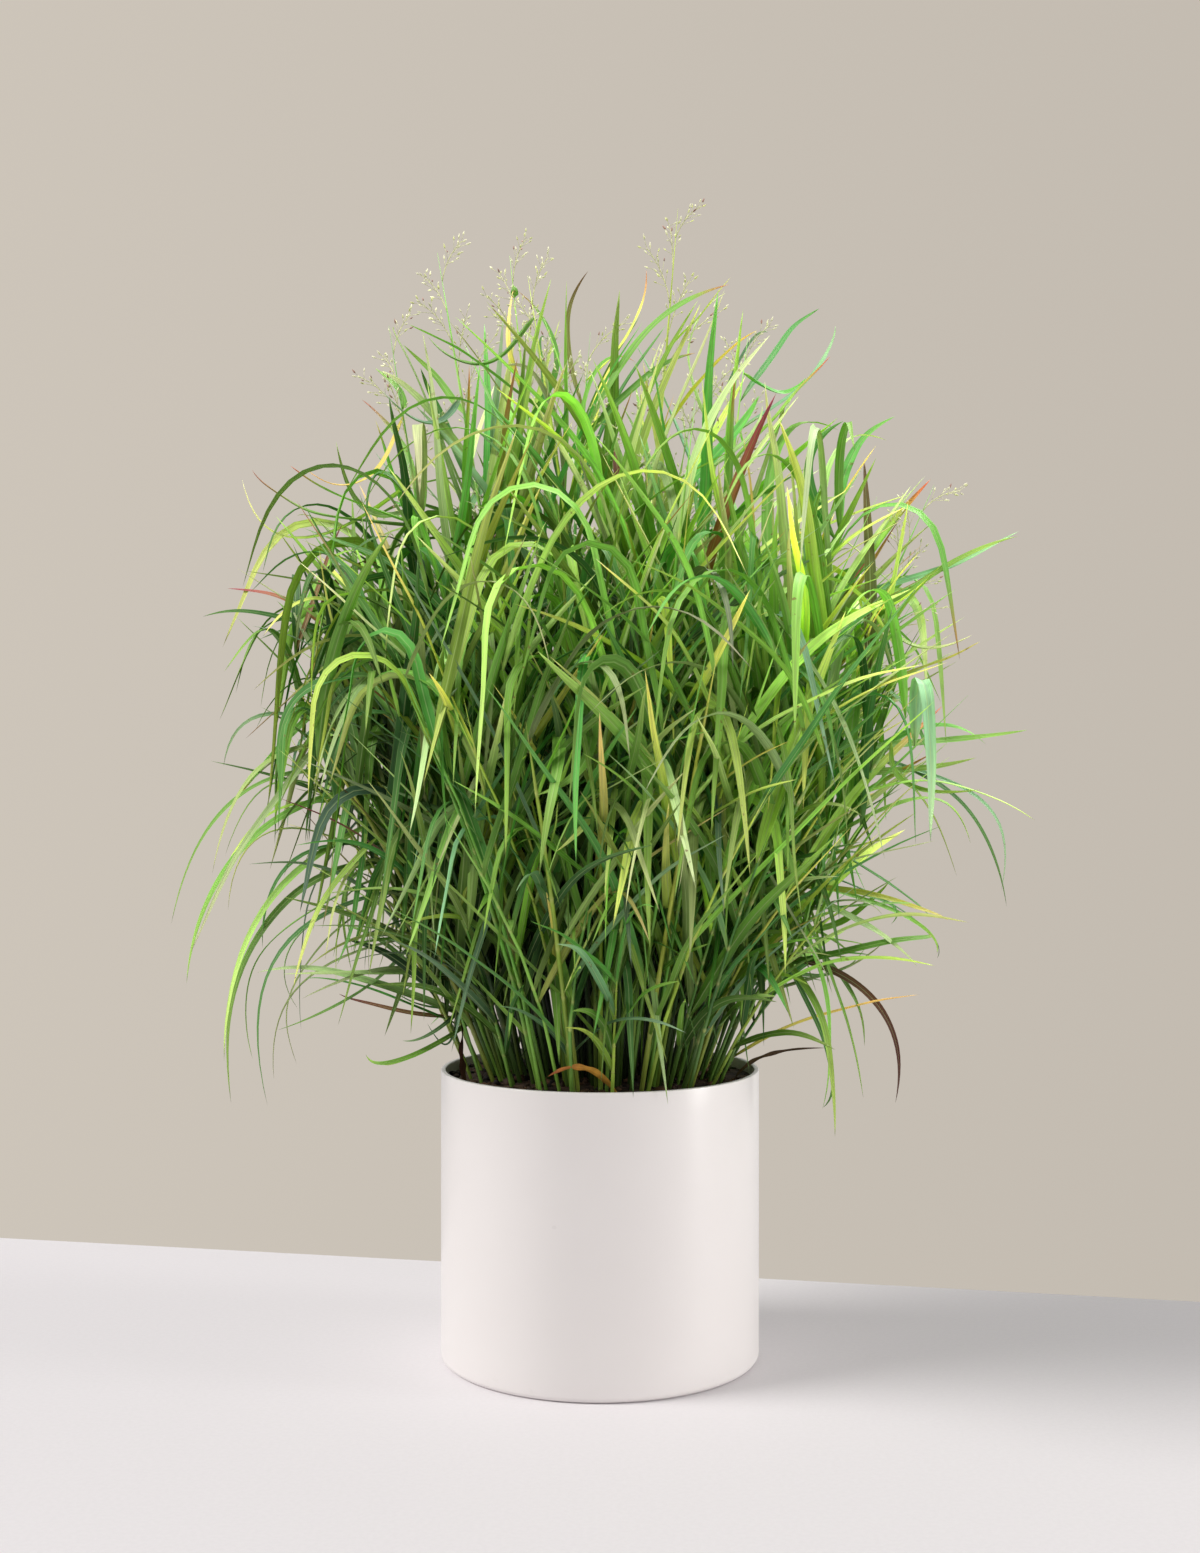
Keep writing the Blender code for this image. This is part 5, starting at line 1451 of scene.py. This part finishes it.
def glaze_finish(planter):
    """The planter's satin finish: off-white, slow warm clouds, a fine grain and faint scuffs at its foot."""
    graph = Graph("satin_planter")
    place = graph.objects_place()
    clouds = graph.noise(place, 7.0)
    grain = graph.noise(place, 900.0, detail=2.0)
    ripples = graph.noise(place, 42.0, detail=2.0)
    scratches = graph.noise(place, 60.0, detail=5.0, roughness=0.7)
    height = graph.add("SeparateXYZ", {0: place}).outputs[2]
    low = graph.spread(height, (0.0, 0.02), (1.0, 0.0))
    scuffs = graph.times(graph.spread(scratches, (0.58, 0.70), (0.0, 0.12)), low)
    clouded = graph.spread(clouds, (0.3, 0.7), (0.0, 1.0))
    body = graph.mix(clouded, (*planter.colour, 1.0), (*planter.shade, 1.0))
    body = graph.mix(scuffs, body, opaque("a89f96"))
    rough = graph.spread(clouds, (0.2, 0.8), (0.27, 0.30))
    relief = graph.bump(graph.math("ADD", grain, graph.times(ripples, 0.6)), strength=0.06, distance=0.0004)
    return graph.finish(Base_Color=body, Roughness=rough, Normal=relief)


def soil_finish():
    """The potting mix's finish: near-black peat with brown fibres and a few pale grains, rough all over."""
    graph = Graph("potting_mix_finish")
    place = graph.objects_place()
    lumps = graph.noise(place, 70.0, detail=6.0, roughness=0.7)
    cells = graph.add("TexVoronoi", {"Vector": place, "Scale": 260.0}, feature="F1")
    grains = graph.spread(cells.outputs["Distance"], (0.10, 0.45), (1.0, 0.0))
    chance = graph.add("SeparateColor", {0: cells.outputs["Color"]}).outputs[0]
    pale = graph.times(graph.spread(chance, (0.93, 0.95), (0.0, 0.7)), grains)
    body = graph.mix(graph.spread(lumps, (0.3, 0.7), (0.0, 1.0)), opaque("1d130d"), opaque("5b4330"))
    body = graph.mix(pale, body, opaque("a58f6f"))
    relief = graph.bump(graph.math("ADD", lumps, graph.times(grains, 0.5)), strength=0.9, distance=0.002)
    return graph.finish(Base_Color=body, Roughness=0.93, Normal=relief)


def ledge_finish(stage):
    """The ledge's finish: plain, pale and matt, with the faintest grain."""
    graph = Graph("pale_ledge")
    grain = graph.noise(graph.objects_place(), 240.0, detail=2.0)
    body = graph.shaded(tuple(stage.ledge), grain, (0.3, 0.7), (0.985, 1.01))
    return graph.finish(Base_Color=body, Roughness=0.62)


def turned_mesh(name, profile, steps):
    """A body of revolution: the profile's radius times cosine and sine of each step's angle, and its height.

    The profile runs from the axis to the axis, so that its first and last points are the poles.
    """
    radius, height = np.array(profile).T
    angle = np.arange(steps) * 2 * math.pi / steps
    ring = np.stack([np.outer(radius[1:-1], np.cos(angle)), np.outer(radius[1:-1], np.sin(angle))], axis=-1)
    rings = np.concatenate([ring, np.broadcast_to(height[1:-1, None, None], (*ring.shape[:2], 1))], axis=-1)
    points = np.concatenate([rings.reshape(-1, 3), [(0, 0, height[0]), (0, 0, height[-1])]])
    quads, fans = skin_faces(0, len(rings), steps)
    mesh = bpy.data.meshes.new(name)
    mesh.from_pydata(points.tolist(), [], quads.tolist() + fans.tolist())
    mesh.shade_smooth()
    return mesh


def corner(centre_radius, centre_height, rounding, start, end, steps):
    """Points of a profile's round corner: its centre plus the rounding times cosine and sine, in degrees."""
    angles = np.radians(np.linspace(start, end, steps + 1))
    return list(zip(centre_radius + rounding * np.cos(angles), centre_height + rounding * np.sin(angles)))


def make_planter(planter):
    """The planter: one turned wall with a rounded rim and foot and a flat floor inside and below."""
    inner = POT_RADIUS - POT_WALL
    rim = POT_HEIGHT - RIM_ROUNDING
    levels = np.linspace(rim, FOOT_ROUNDING, WALL_LEVELS)[1:-1]
    profile = [(0.0, POT_FLOOR), (inner * 0.5, POT_FLOOR), (inner - FLOOR_ROUNDING, POT_FLOOR)]
    profile += corner(inner - FLOOR_ROUNDING, POT_FLOOR + FLOOR_ROUNDING, FLOOR_ROUNDING, -90, 0, 4)
    profile += [(inner, level) for level in levels[::-1]]
    profile += corner(inner + RIM_ROUNDING, rim, RIM_ROUNDING, 180, 90, 5)
    profile += corner(POT_RADIUS - RIM_ROUNDING, rim, RIM_ROUNDING, 90, 0, 5)
    profile += [(POT_RADIUS, level) for level in levels]
    profile += corner(POT_RADIUS - FOOT_ROUNDING, FOOT_ROUNDING, FOOT_ROUNDING, 0, -90, 7)
    profile += [(POT_RADIUS * 0.5, 0.0), (0.0, 0.0)]
    kept = [profile[0]] + [b for a, b in zip(profile, profile[1:]) if math.dist(a, b) > 1e-7]
    mesh = turned_mesh("planter", kept[::-1], PLANTER_STEPS)
    mesh.materials.append(glaze_finish(planter))
    return dress("planter", mesh, ["pot"])


def soil_lumps(x, y):
    """The height of the soil's lumps before scaling: sums of sines over the place turned by several angles.

    The turned places bend one another's waves, so that no grid shows.
    """
    lumps = 0 * x
    for turn, wave, height in LUMP_WAVES:
        there = x * math.cos(turn) + y * math.sin(turn)
        other = y * math.cos(turn) - x * math.sin(turn)
        bent = np.sin(wave * there + 2.1 * np.sin(wave * 0.6 * other))
        lumps = lumps + height * bent * np.sin(wave * 0.8 * other + turn)
    return lumps / 2.5


def make_soil(soil, culm_roots):
    """The potting mix: its surface is the source's crown plus lumps, and rises round each culm's foot.

    Under the surface is the plain fill of the planter.
    """
    outer = POT_RADIUS - POT_WALL - GAP
    distances = np.linspace(0.0, 1.0, SOIL_RINGS + 1) ** SOIL_RING_POWER * outer
    profile = [(d, soil_level(d)) for d in distances]
    profile += [(outer, POT_FLOOR + 0.004), (outer * 0.98, POT_FLOOR + GAP), (0.0, POT_FLOOR + GAP)]
    mesh = turned_mesh("potting_mix_fill", profile[::-1], SOIL_STEPS)
    points = np.empty(3 * len(mesh.vertices))
    mesh.vertices.foreach_get("co", points)
    points = points.reshape(-1, 3)
    x, y = points[:, 0], points[:, 1]
    gaps = np.min(np.hypot(x[:, None] - culm_roots[:, 0], y[:, None] - culm_roots[:, 1]), axis=1)
    distance = np.hypot(x, y)
    on_top = (points[:, 2] > 0.2) & (distance < outer - 0.0002)
    rise = soil.lumps * soil_lumps(x, y) + FOOT_RISE * np.exp(-((gaps / FOOT_RISE_WIDTH) ** 2))
    points[:, 2] += np.where(on_top, rise * (1 - 0.6 * smooth(outer - EDGE_FADE, outer, distance)), 0.0)
    mesh.vertices.foreach_set("co", points.ravel())
    mesh.update()
    mesh.materials.append(soil_finish())
    return dress("potting_mix_fill", mesh, ["soil"])


def make_crumbs(soil):
    """Crumbs and bark chips on the soil: three uneven rings between two points, turned at random."""
    draw = np.random.default_rng([SEED, CRUMB_SEED])
    sheaf = Sheaf()
    for _ in range(soil.crumbs):
        distance = (POT_RADIUS - POT_WALL - 0.005) * math.sqrt(draw.uniform(0.0, 1.0))
        azimuth = draw.uniform(0, 2 * math.pi)
        size = draw.uniform(*CRUMB_SIZES) * (1.0 if draw.random() < CRUMB_CHIP_FROM else CRUMB_CHIP)
        height = soil_level(distance) + 0.2 * size
        place = np.array([distance * math.cos(azimuth), distance * math.sin(azimuth), height])
        axis = unit(draw.normal(size=3) * (1.0, 1.0, 0.35))
        first = unit(np.cross(axis, (0.1, 0.2, 1.0)))
        second = np.cross(axis, first) * draw.uniform(0.4, 0.9)
        angle = np.arange(CRUMB_SIDES) * 2 * math.pi / CRUMB_SIDES + draw.uniform(0, 1)
        uneven = draw.uniform(0.7, 1.25, (3, CRUMB_SIDES))
        rounding = np.array(CRUMB_ROUNDING)[:, None] * uneven * size
        sides = first * np.cos(angle)[:, None] + second * np.sin(angle)[:, None]
        heights = np.array(CRUMB_HEIGHTS) * size * draw.uniform(0.8, 1.8)
        rings = place + axis * heights[:, None, None] + rounding[..., None] * sides[None]
        tint = linear(CRUMB_TONES[draw.integers(len(CRUMB_TONES))]) * draw.uniform(0.7, 1.3)
        ends = place + axis * heights[0] * CRUMB_POINT, place + axis * heights[-1] * CRUMB_POINT
        places = np.stack(np.broadcast_arrays(0.0, rings[..., 2], 0.0), axis=-1)
        sheaf.add(rings, *ends, tint, places, 0)
    return sheaf.piece("soil_crumbs", "potting_mix", [], [dry_finish()])


def make_dry_leaves():
    """The dry leaves low in the clump, along the bows of the source, each curled, crinkled and uneven.

    Across a leaf, a point at t of its half width h lies at h sin(k t) / k and is lifted by h (1 - cos(k
    t)) / k, with k the curl, which grows along the leaf by a smooth step plus a wave.
    """
    sheaf = Sheaf()
    for index, (foot, middle, tip, width, body, end) in enumerate(DRY_BLADES):
        draw = np.random.default_rng([SEED, DRY_SEED + index])
        path = bow(foot, middle, tip, PATH_STEPS + 1)
        path = np.vstack([foot - unit(path[1] - path[0]) * DRY_SUNK, path])
        azimuth = math.atan2(tip[1] - foot[1], tip[0] - foot[0])
        shares = np.linspace(0, 1, DRY_STEPS + 1)[:-1]
        centre, side, normal = blade_rail(path, shares, azimuth, DRY_ROLL, DRY_TWIST)
        opening = DRY_BASE_WIDTH + (1 - DRY_BASE_WIDTH) * smooth(0.0, 0.3, shares)
        half = DRY_WIDENING * width / 2 * opening * (1 - shares**DRY_TAPER_POWER) ** DRY_TAPER_ROOT
        half = (half * (1 + 0.12 * np.sin(shares * 31 + index)))[:, None]
        curl = (0.4 + 0.7 * smooth(0.5, 1.0, shares) + 0.2 * np.sin(shares * 19))[:, None]
        t = RING_ACROSS[None, :]
        across = half * np.sin(curl * t) / np.maximum(curl, DRY_FLATTEST)
        lift = half * (1 - np.cos(curl * t)) / np.maximum(curl, DRY_FLATTEST)
        crinkle = 0.0006 * np.sin(shares * 23)[:, None] * t * smooth(0.1, 0.3, shares)[:, None]
        lift = lift + RING_FACE * SHEET_THICKNESS + crinkle
        rings = centre[:, None] + side[:, None] * across[..., None] + normal[:, None] * lift[..., None]
        mix = smooth(0.3, 1.0, shares)[:, None]
        colours = ((1 - mix) * linear(body) + mix * linear(end))[:, None, :]
        length = np.linalg.norm(np.diff(path, axis=0), axis=1).sum()
        places = np.stack(np.broadcast_arrays(t, (shares * length)[:, None], draw.uniform(0, 100)), axis=-1)
        sheaf.add(rings, centre[0], path[-1], colours, places, 0, margin=RING_MARGINS)
    names = [f"dry_blade_{number + 1}" for number in range(len(DRY_BLADES))]
    return sheaf.piece("dry_leaves", "dry_leaf", names, [dry_finish()])


def hang_lamp(name, kind, place, target, energy, sizes):
    """A lamp at a place that faces a target: turned about x by its slope and about z by its azimuth."""
    data = bpy.data.lights.new(name, kind)
    data.energy, data.color = energy, LAMP_COLOUR
    for key, value in sizes.items():
        setattr(data, key, value)
    lamp = bpy.data.objects.new(name, data)
    bpy.context.scene.collection.objects.link(lamp)
    lamp.location = place
    x, y, z = np.array(place) - np.array(target)
    lamp.rotation_euler = (math.atan2(math.hypot(x, y), z), 0.0, math.atan2(y, x) + math.pi / 2)
    return lamp


def light_only(lamps, name, pieces):
    """Let lamps light only some pieces, by a collection that receives their light."""
    receiver = bpy.data.collections.new(name)
    for lamp in lamps:
        lamp.light_linking.receiver_collection = receiver
    for piece in pieces:
        receiver.objects.link(piece)


def make_lamps(stage):
    """The lamps, each as strong as the setting named after it. Some light only the grass or the planter."""
    lamps = {}
    for name, (kind, place, target, sizes) in LAMPS.items():
        lamps[name] = hang_lamp(name, kind, place, target, getattr(stage, f"{name}_light"), sizes)
    pieces = list(bpy.context.scene.objects)
    grass = [piece for piece in pieces if "tuft" in piece.name or "shoots" in piece.name]
    light_only([lamps[name] for name in GRASS_LAMPS], "grass", grass)
    light_only([lamps[name] for name in PLANTER_LAMPS], "glaze", [p for p in pieces if p.name == "planter"])


def make_ledge(stage):
    """The ledge that the planter stands on: a block whose back edge runs aslant, as in the photograph."""
    points = [(x, y, height) for height in (0, LEDGE_DEPTH) for x, y in LEDGE_CORNERS]
    faces = [(0, 1, 2, 3), (7, 6, 5, 4), (0, 4, 5, 1), (1, 5, 6, 2), (2, 6, 7, 3), (3, 7, 4, 0)]
    mesh = bpy.data.meshes.new("ledge")
    mesh.from_pydata(points, [], faces)
    mesh.materials.append(ledge_finish(stage))
    ledge = bpy.data.objects.new("ledge", mesh)
    bpy.context.scene.collection.objects.link(ledge)


def make_wall_light(stage):
    """The plain wall, with painted light a little paler at the left, and the room's even light, the same all
    round.
    """
    world = bpy.data.worlds.new("plain_wall")
    bpy.context.scene.world = world
    world.use_nodes = True
    nodes, links = world.node_tree.nodes, world.node_tree.links
    parts = nodes.new("ShaderNodeSeparateXYZ")
    links.new(nodes.new("ShaderNodeTexCoord").outputs["Generated"], parts.inputs[0])
    across = nodes.new("ShaderNodeMapRange")
    for key, value in WALL_FADE.items():
        across.inputs[key].default_value = value
    links.new(parts.outputs[0], across.inputs["Value"])
    wall, room = nodes["Background"], nodes.new("ShaderNodeBackground")
    wall.inputs["Color"].default_value = (*stage.wall, 1.0)
    links.new(across.outputs["Result"], wall.inputs["Strength"])
    room.inputs["Color"].default_value = (*stage.room, 1.0)
    room.inputs["Strength"].default_value = stage.room_light
    mixed = nodes.new("ShaderNodeMixShader")
    links.new(nodes.new("ShaderNodeLightPath").outputs["Is Camera Ray"], mixed.inputs[0])
    links.new(room.outputs[0], mixed.inputs[1])
    links.new(wall.outputs[0], mixed.inputs[2])
    links.new(mixed.outputs[0], nodes["World Output"].inputs["Surface"])


def make_camera(stage):
    """A level camera in front of the planter's axis, at the photograph's height, distance and lens."""
    data = bpy.data.cameras.new("camera")
    data.lens, data.sensor_width = stage.lens, SENSOR_WIDTH
    camera = bpy.data.objects.new("camera", data)
    bpy.context.scene.collection.objects.link(camera)
    camera.location = (0.0, -stage.distance, stage.height)
    camera.rotation_euler = (math.pi / 2, 0.0, 0.0)
    bpy.context.scene.camera = camera


class PlanterSettings(bpy.types.PropertyGroup):
    """Colours of the planter."""

    colour: FloatVectorProperty(
        name="Body", description="The planter's colour", subtype="COLOR", size=3, default=(0.775, 0.74, 0.73)
    )
    shade: FloatVectorProperty(
        name="Clouds", description="The colour of its faint clouds", subtype="COLOR", size=3,
        default=(0.765, 0.728, 0.718),
    )


class SoilSettings(bpy.types.PropertyGroup):
    """Sizes of the potting mix."""

    lumps: FloatProperty(name="Lumps", description="Height of the lumps", unit="LENGTH", default=0.0011)
    crumbs: IntProperty(name="Crumbs", description="Number of loose crumbs", default=620)


class GrassSettings(bpy.types.PropertyGroup):
    """Sizes and finish of the grass."""

    side_shoots: IntProperty(name="Side shoots", description="Thin shoots beside each culm", default=3)
    basal_shoots: IntProperty(name="Basal shoots", description="Short shoots above the soil", default=38)
    flank_blades: IntProperty(
        name="Flank blades", description="Low blades on each outer basal shoot", default=6
    )
    fold: FloatProperty(
        name="Fold", description="How far each half of a blade stands up, in degrees", default=16.0
    )
    midrib: FloatProperty(
        name="Midrib", description="How pale the midrib is", subtype="FACTOR", default=0.42
    )
    translucency: FloatProperty(
        name="Translucency", description="Share of the light that a leaf lets through", subtype="FACTOR",
        default=0.34,
    )
    # Painted sunlight: how much lighter and yellower the grass's colour is painted at the right
    painted_sun: FloatProperty(
        name="Sunlit blades", description="How much lighter and yellower the grass is at the right",
        subtype="FACTOR", default=1.0,
    )
    spikelets: IntProperty(
        name="Spikelets", description="Spikelets on the lowest branch of a flower head", default=16
    )
    spikelet: FloatProperty(
        name="Spikelet length", description="Length of one spikelet", unit="LENGTH", default=0.0046
    )


class StageSettings(bpy.types.PropertyGroup):
    """The ledge, the wall, the lights and the camera."""

    wall: FloatVectorProperty(
        name="Wall", description="The wall's colour", subtype="COLOR", size=3, default=linear("c8c0b5")
    )
    room: FloatVectorProperty(
        name="Room", description="The colour of the room's light", subtype="COLOR", size=3,
        default=(1.0, 0.985, 0.97),
    )
    ledge: FloatVectorProperty(
        name="Ledge", description="The ledge's colour", subtype="COLOR", size=3, default=(0.84, 0.807, 0.834)
    )
    room_light: FloatProperty(name="Room light", description="Strength of the even light", default=0.54)
    key_light: FloatProperty(
        name="Key light", description="Strength of the light from the upper left", default=2.15
    )
    right_light: FloatProperty(
        name="Right light", description="Strength of the low light from the right", default=1.0
    )
    back_light: FloatProperty(
        name="Back light", description="Strength of the light from behind, on the grass alone", default=3.4
    )
    front_light: FloatProperty(
        name="Front light", description="Strength of the light in front, on the grass alone", default=2.0
    )
    strip_light: FloatProperty(
        name="Strip light", description="Power of the tall lamp that the planter mirrors", default=8.0
    )
    distance: FloatProperty(
        name="Camera distance", description="From the planter's axis", unit="LENGTH", default=1.81
    )
    height: FloatProperty(name="Camera height", description="Above the ledge", unit="LENGTH", default=0.546)
    lens: FloatProperty(
        name="Lens", description="Focal length on a 36 mm sensor", unit="CAMERA", default=44.3
    )


class SwitchgrassSettings(bpy.types.PropertyGroup):
    """All settings of the potted switchgrass."""

    planter: PointerProperty(type=PlanterSettings)
    soil: PointerProperty(type=SoilSettings)
    grass: PointerProperty(type=GrassSettings)
    stage: PointerProperty(type=StageSettings)


class SWITCHGRASS_OT_planter(bpy.types.Operator):
    """Make the planter"""

    bl_idname = "switchgrass.planter"
    bl_label = "Planter"

    def execute(self, context):
        """Replace the frame's pot with the finished one."""
        make_planter(context.scene.switchgrass.planter)
        return {"FINISHED"}


class SWITCHGRASS_OT_soil(bpy.types.Operator):
    """Make the potting mix and its crumbs"""

    bl_idname = "switchgrass.soil"
    bl_label = "Potting mix"

    def execute(self, context):
        """Replace the frame's soil and strew crumbs over it."""
        settings = context.scene.switchgrass.soil
        make_soil(settings, np.array([foot + heading * CULM_DEPTH for foot, heading, _ in culm_lines()]))
        make_crumbs(settings)
        return {"FINISHED"}


class SWITCHGRASS_OT_grass(bpy.types.Operator):
    """Grow a tuft on every culm of the frame"""

    bl_idname = "switchgrass.grass"
    bl_label = "Grass"

    def execute(self, context):
        """Replace each culm of the frame with its blades, flower head and side shoots."""
        grass = context.scene.switchgrass.grass
        finishes = [leaf_finish(grass), culm_finish(), panicle_finish()]
        clump = Clump()
        for culm in range(len(clump.lines)):
            slot = "flowering_stem" if culm < len(FLOWER_TOPS) else "leaf"
            grow_tuft(clump, culm, node_name(culm).replace("culm", "tuft"), slot, grass, finishes)
        make_basal_shoots(grass, finishes)
        return {"FINISHED"}


class SWITCHGRASS_OT_dry_leaves(bpy.types.Operator):
    """Make the dry leaves low in the clump"""

    bl_idname = "switchgrass.dry_leaves"
    bl_label = "Dry leaves"

    def execute(self, context):
        """Replace the frame's dry blades with curled ones."""
        make_dry_leaves()
        return {"FINISHED"}


class SWITCHGRASS_OT_stage(bpy.types.Operator):
    """Set up the ledge, the wall light, the lamps and the camera"""

    bl_idname = "switchgrass.stage"
    bl_label = "Stage"

    def execute(self, context):
        """Make everything that isn't part of the object."""
        stage = context.scene.switchgrass.stage
        make_ledge(stage)
        make_wall_light(stage)
        make_lamps(stage)
        make_camera(stage)
        context.scene.view_settings.view_transform = "Standard"
        return {"FINISHED"}


OPERATORS = (
    SWITCHGRASS_OT_planter,
    SWITCHGRASS_OT_soil,
    SWITCHGRASS_OT_grass,
    SWITCHGRASS_OT_dry_leaves,
    SWITCHGRASS_OT_stage,
)


class SWITCHGRASS_PT_panel(bpy.types.Panel):
    """Lists the settings and the operators"""

    bl_idname = "SWITCHGRASS_PT_panel"
    bl_label = "Potted Switchgrass"
    bl_space_type = "VIEW_3D"
    bl_region_type = "UI"
    bl_category = "Switchgrass"

    def draw(self, context):
        """Show each group's settings, and a button for each operator."""
        settings = context.scene.switchgrass
        for group in (settings.planter, settings.soil, settings.grass, settings.stage):
            box = self.layout.box()
            for key in group.bl_rna.properties.keys():
                if key not in ("rna_type", "name"):
                    box.prop(group, key)
        for operator in OPERATORS:
            self.layout.operator(operator.bl_idname)


CLASSES = (
    PlanterSettings,
    SoilSettings,
    GrassSettings,
    StageSettings,
    SwitchgrassSettings,
    *OPERATORS,
    SWITCHGRASS_PT_panel,
)


def register():
    """Register the classes and hang the settings on the scene."""
    for each in CLASSES:
        bpy.utils.register_class(each)
    bpy.types.Scene.switchgrass = PointerProperty(type=SwitchgrassSettings)


def unregister():
    """Take the settings off the scene and unregister the classes."""
    del bpy.types.Scene.switchgrass
    for each in reversed(CLASSES):
        bpy.utils.unregister_class(each)


def main():
    """Make every piece and the stage."""
    register()
    bpy.ops.switchgrass.planter()
    bpy.ops.switchgrass.soil()
    bpy.ops.switchgrass.grass()
    bpy.ops.switchgrass.dry_leaves()
    bpy.ops.switchgrass.stage()


if __name__ == "__main__":
    main()
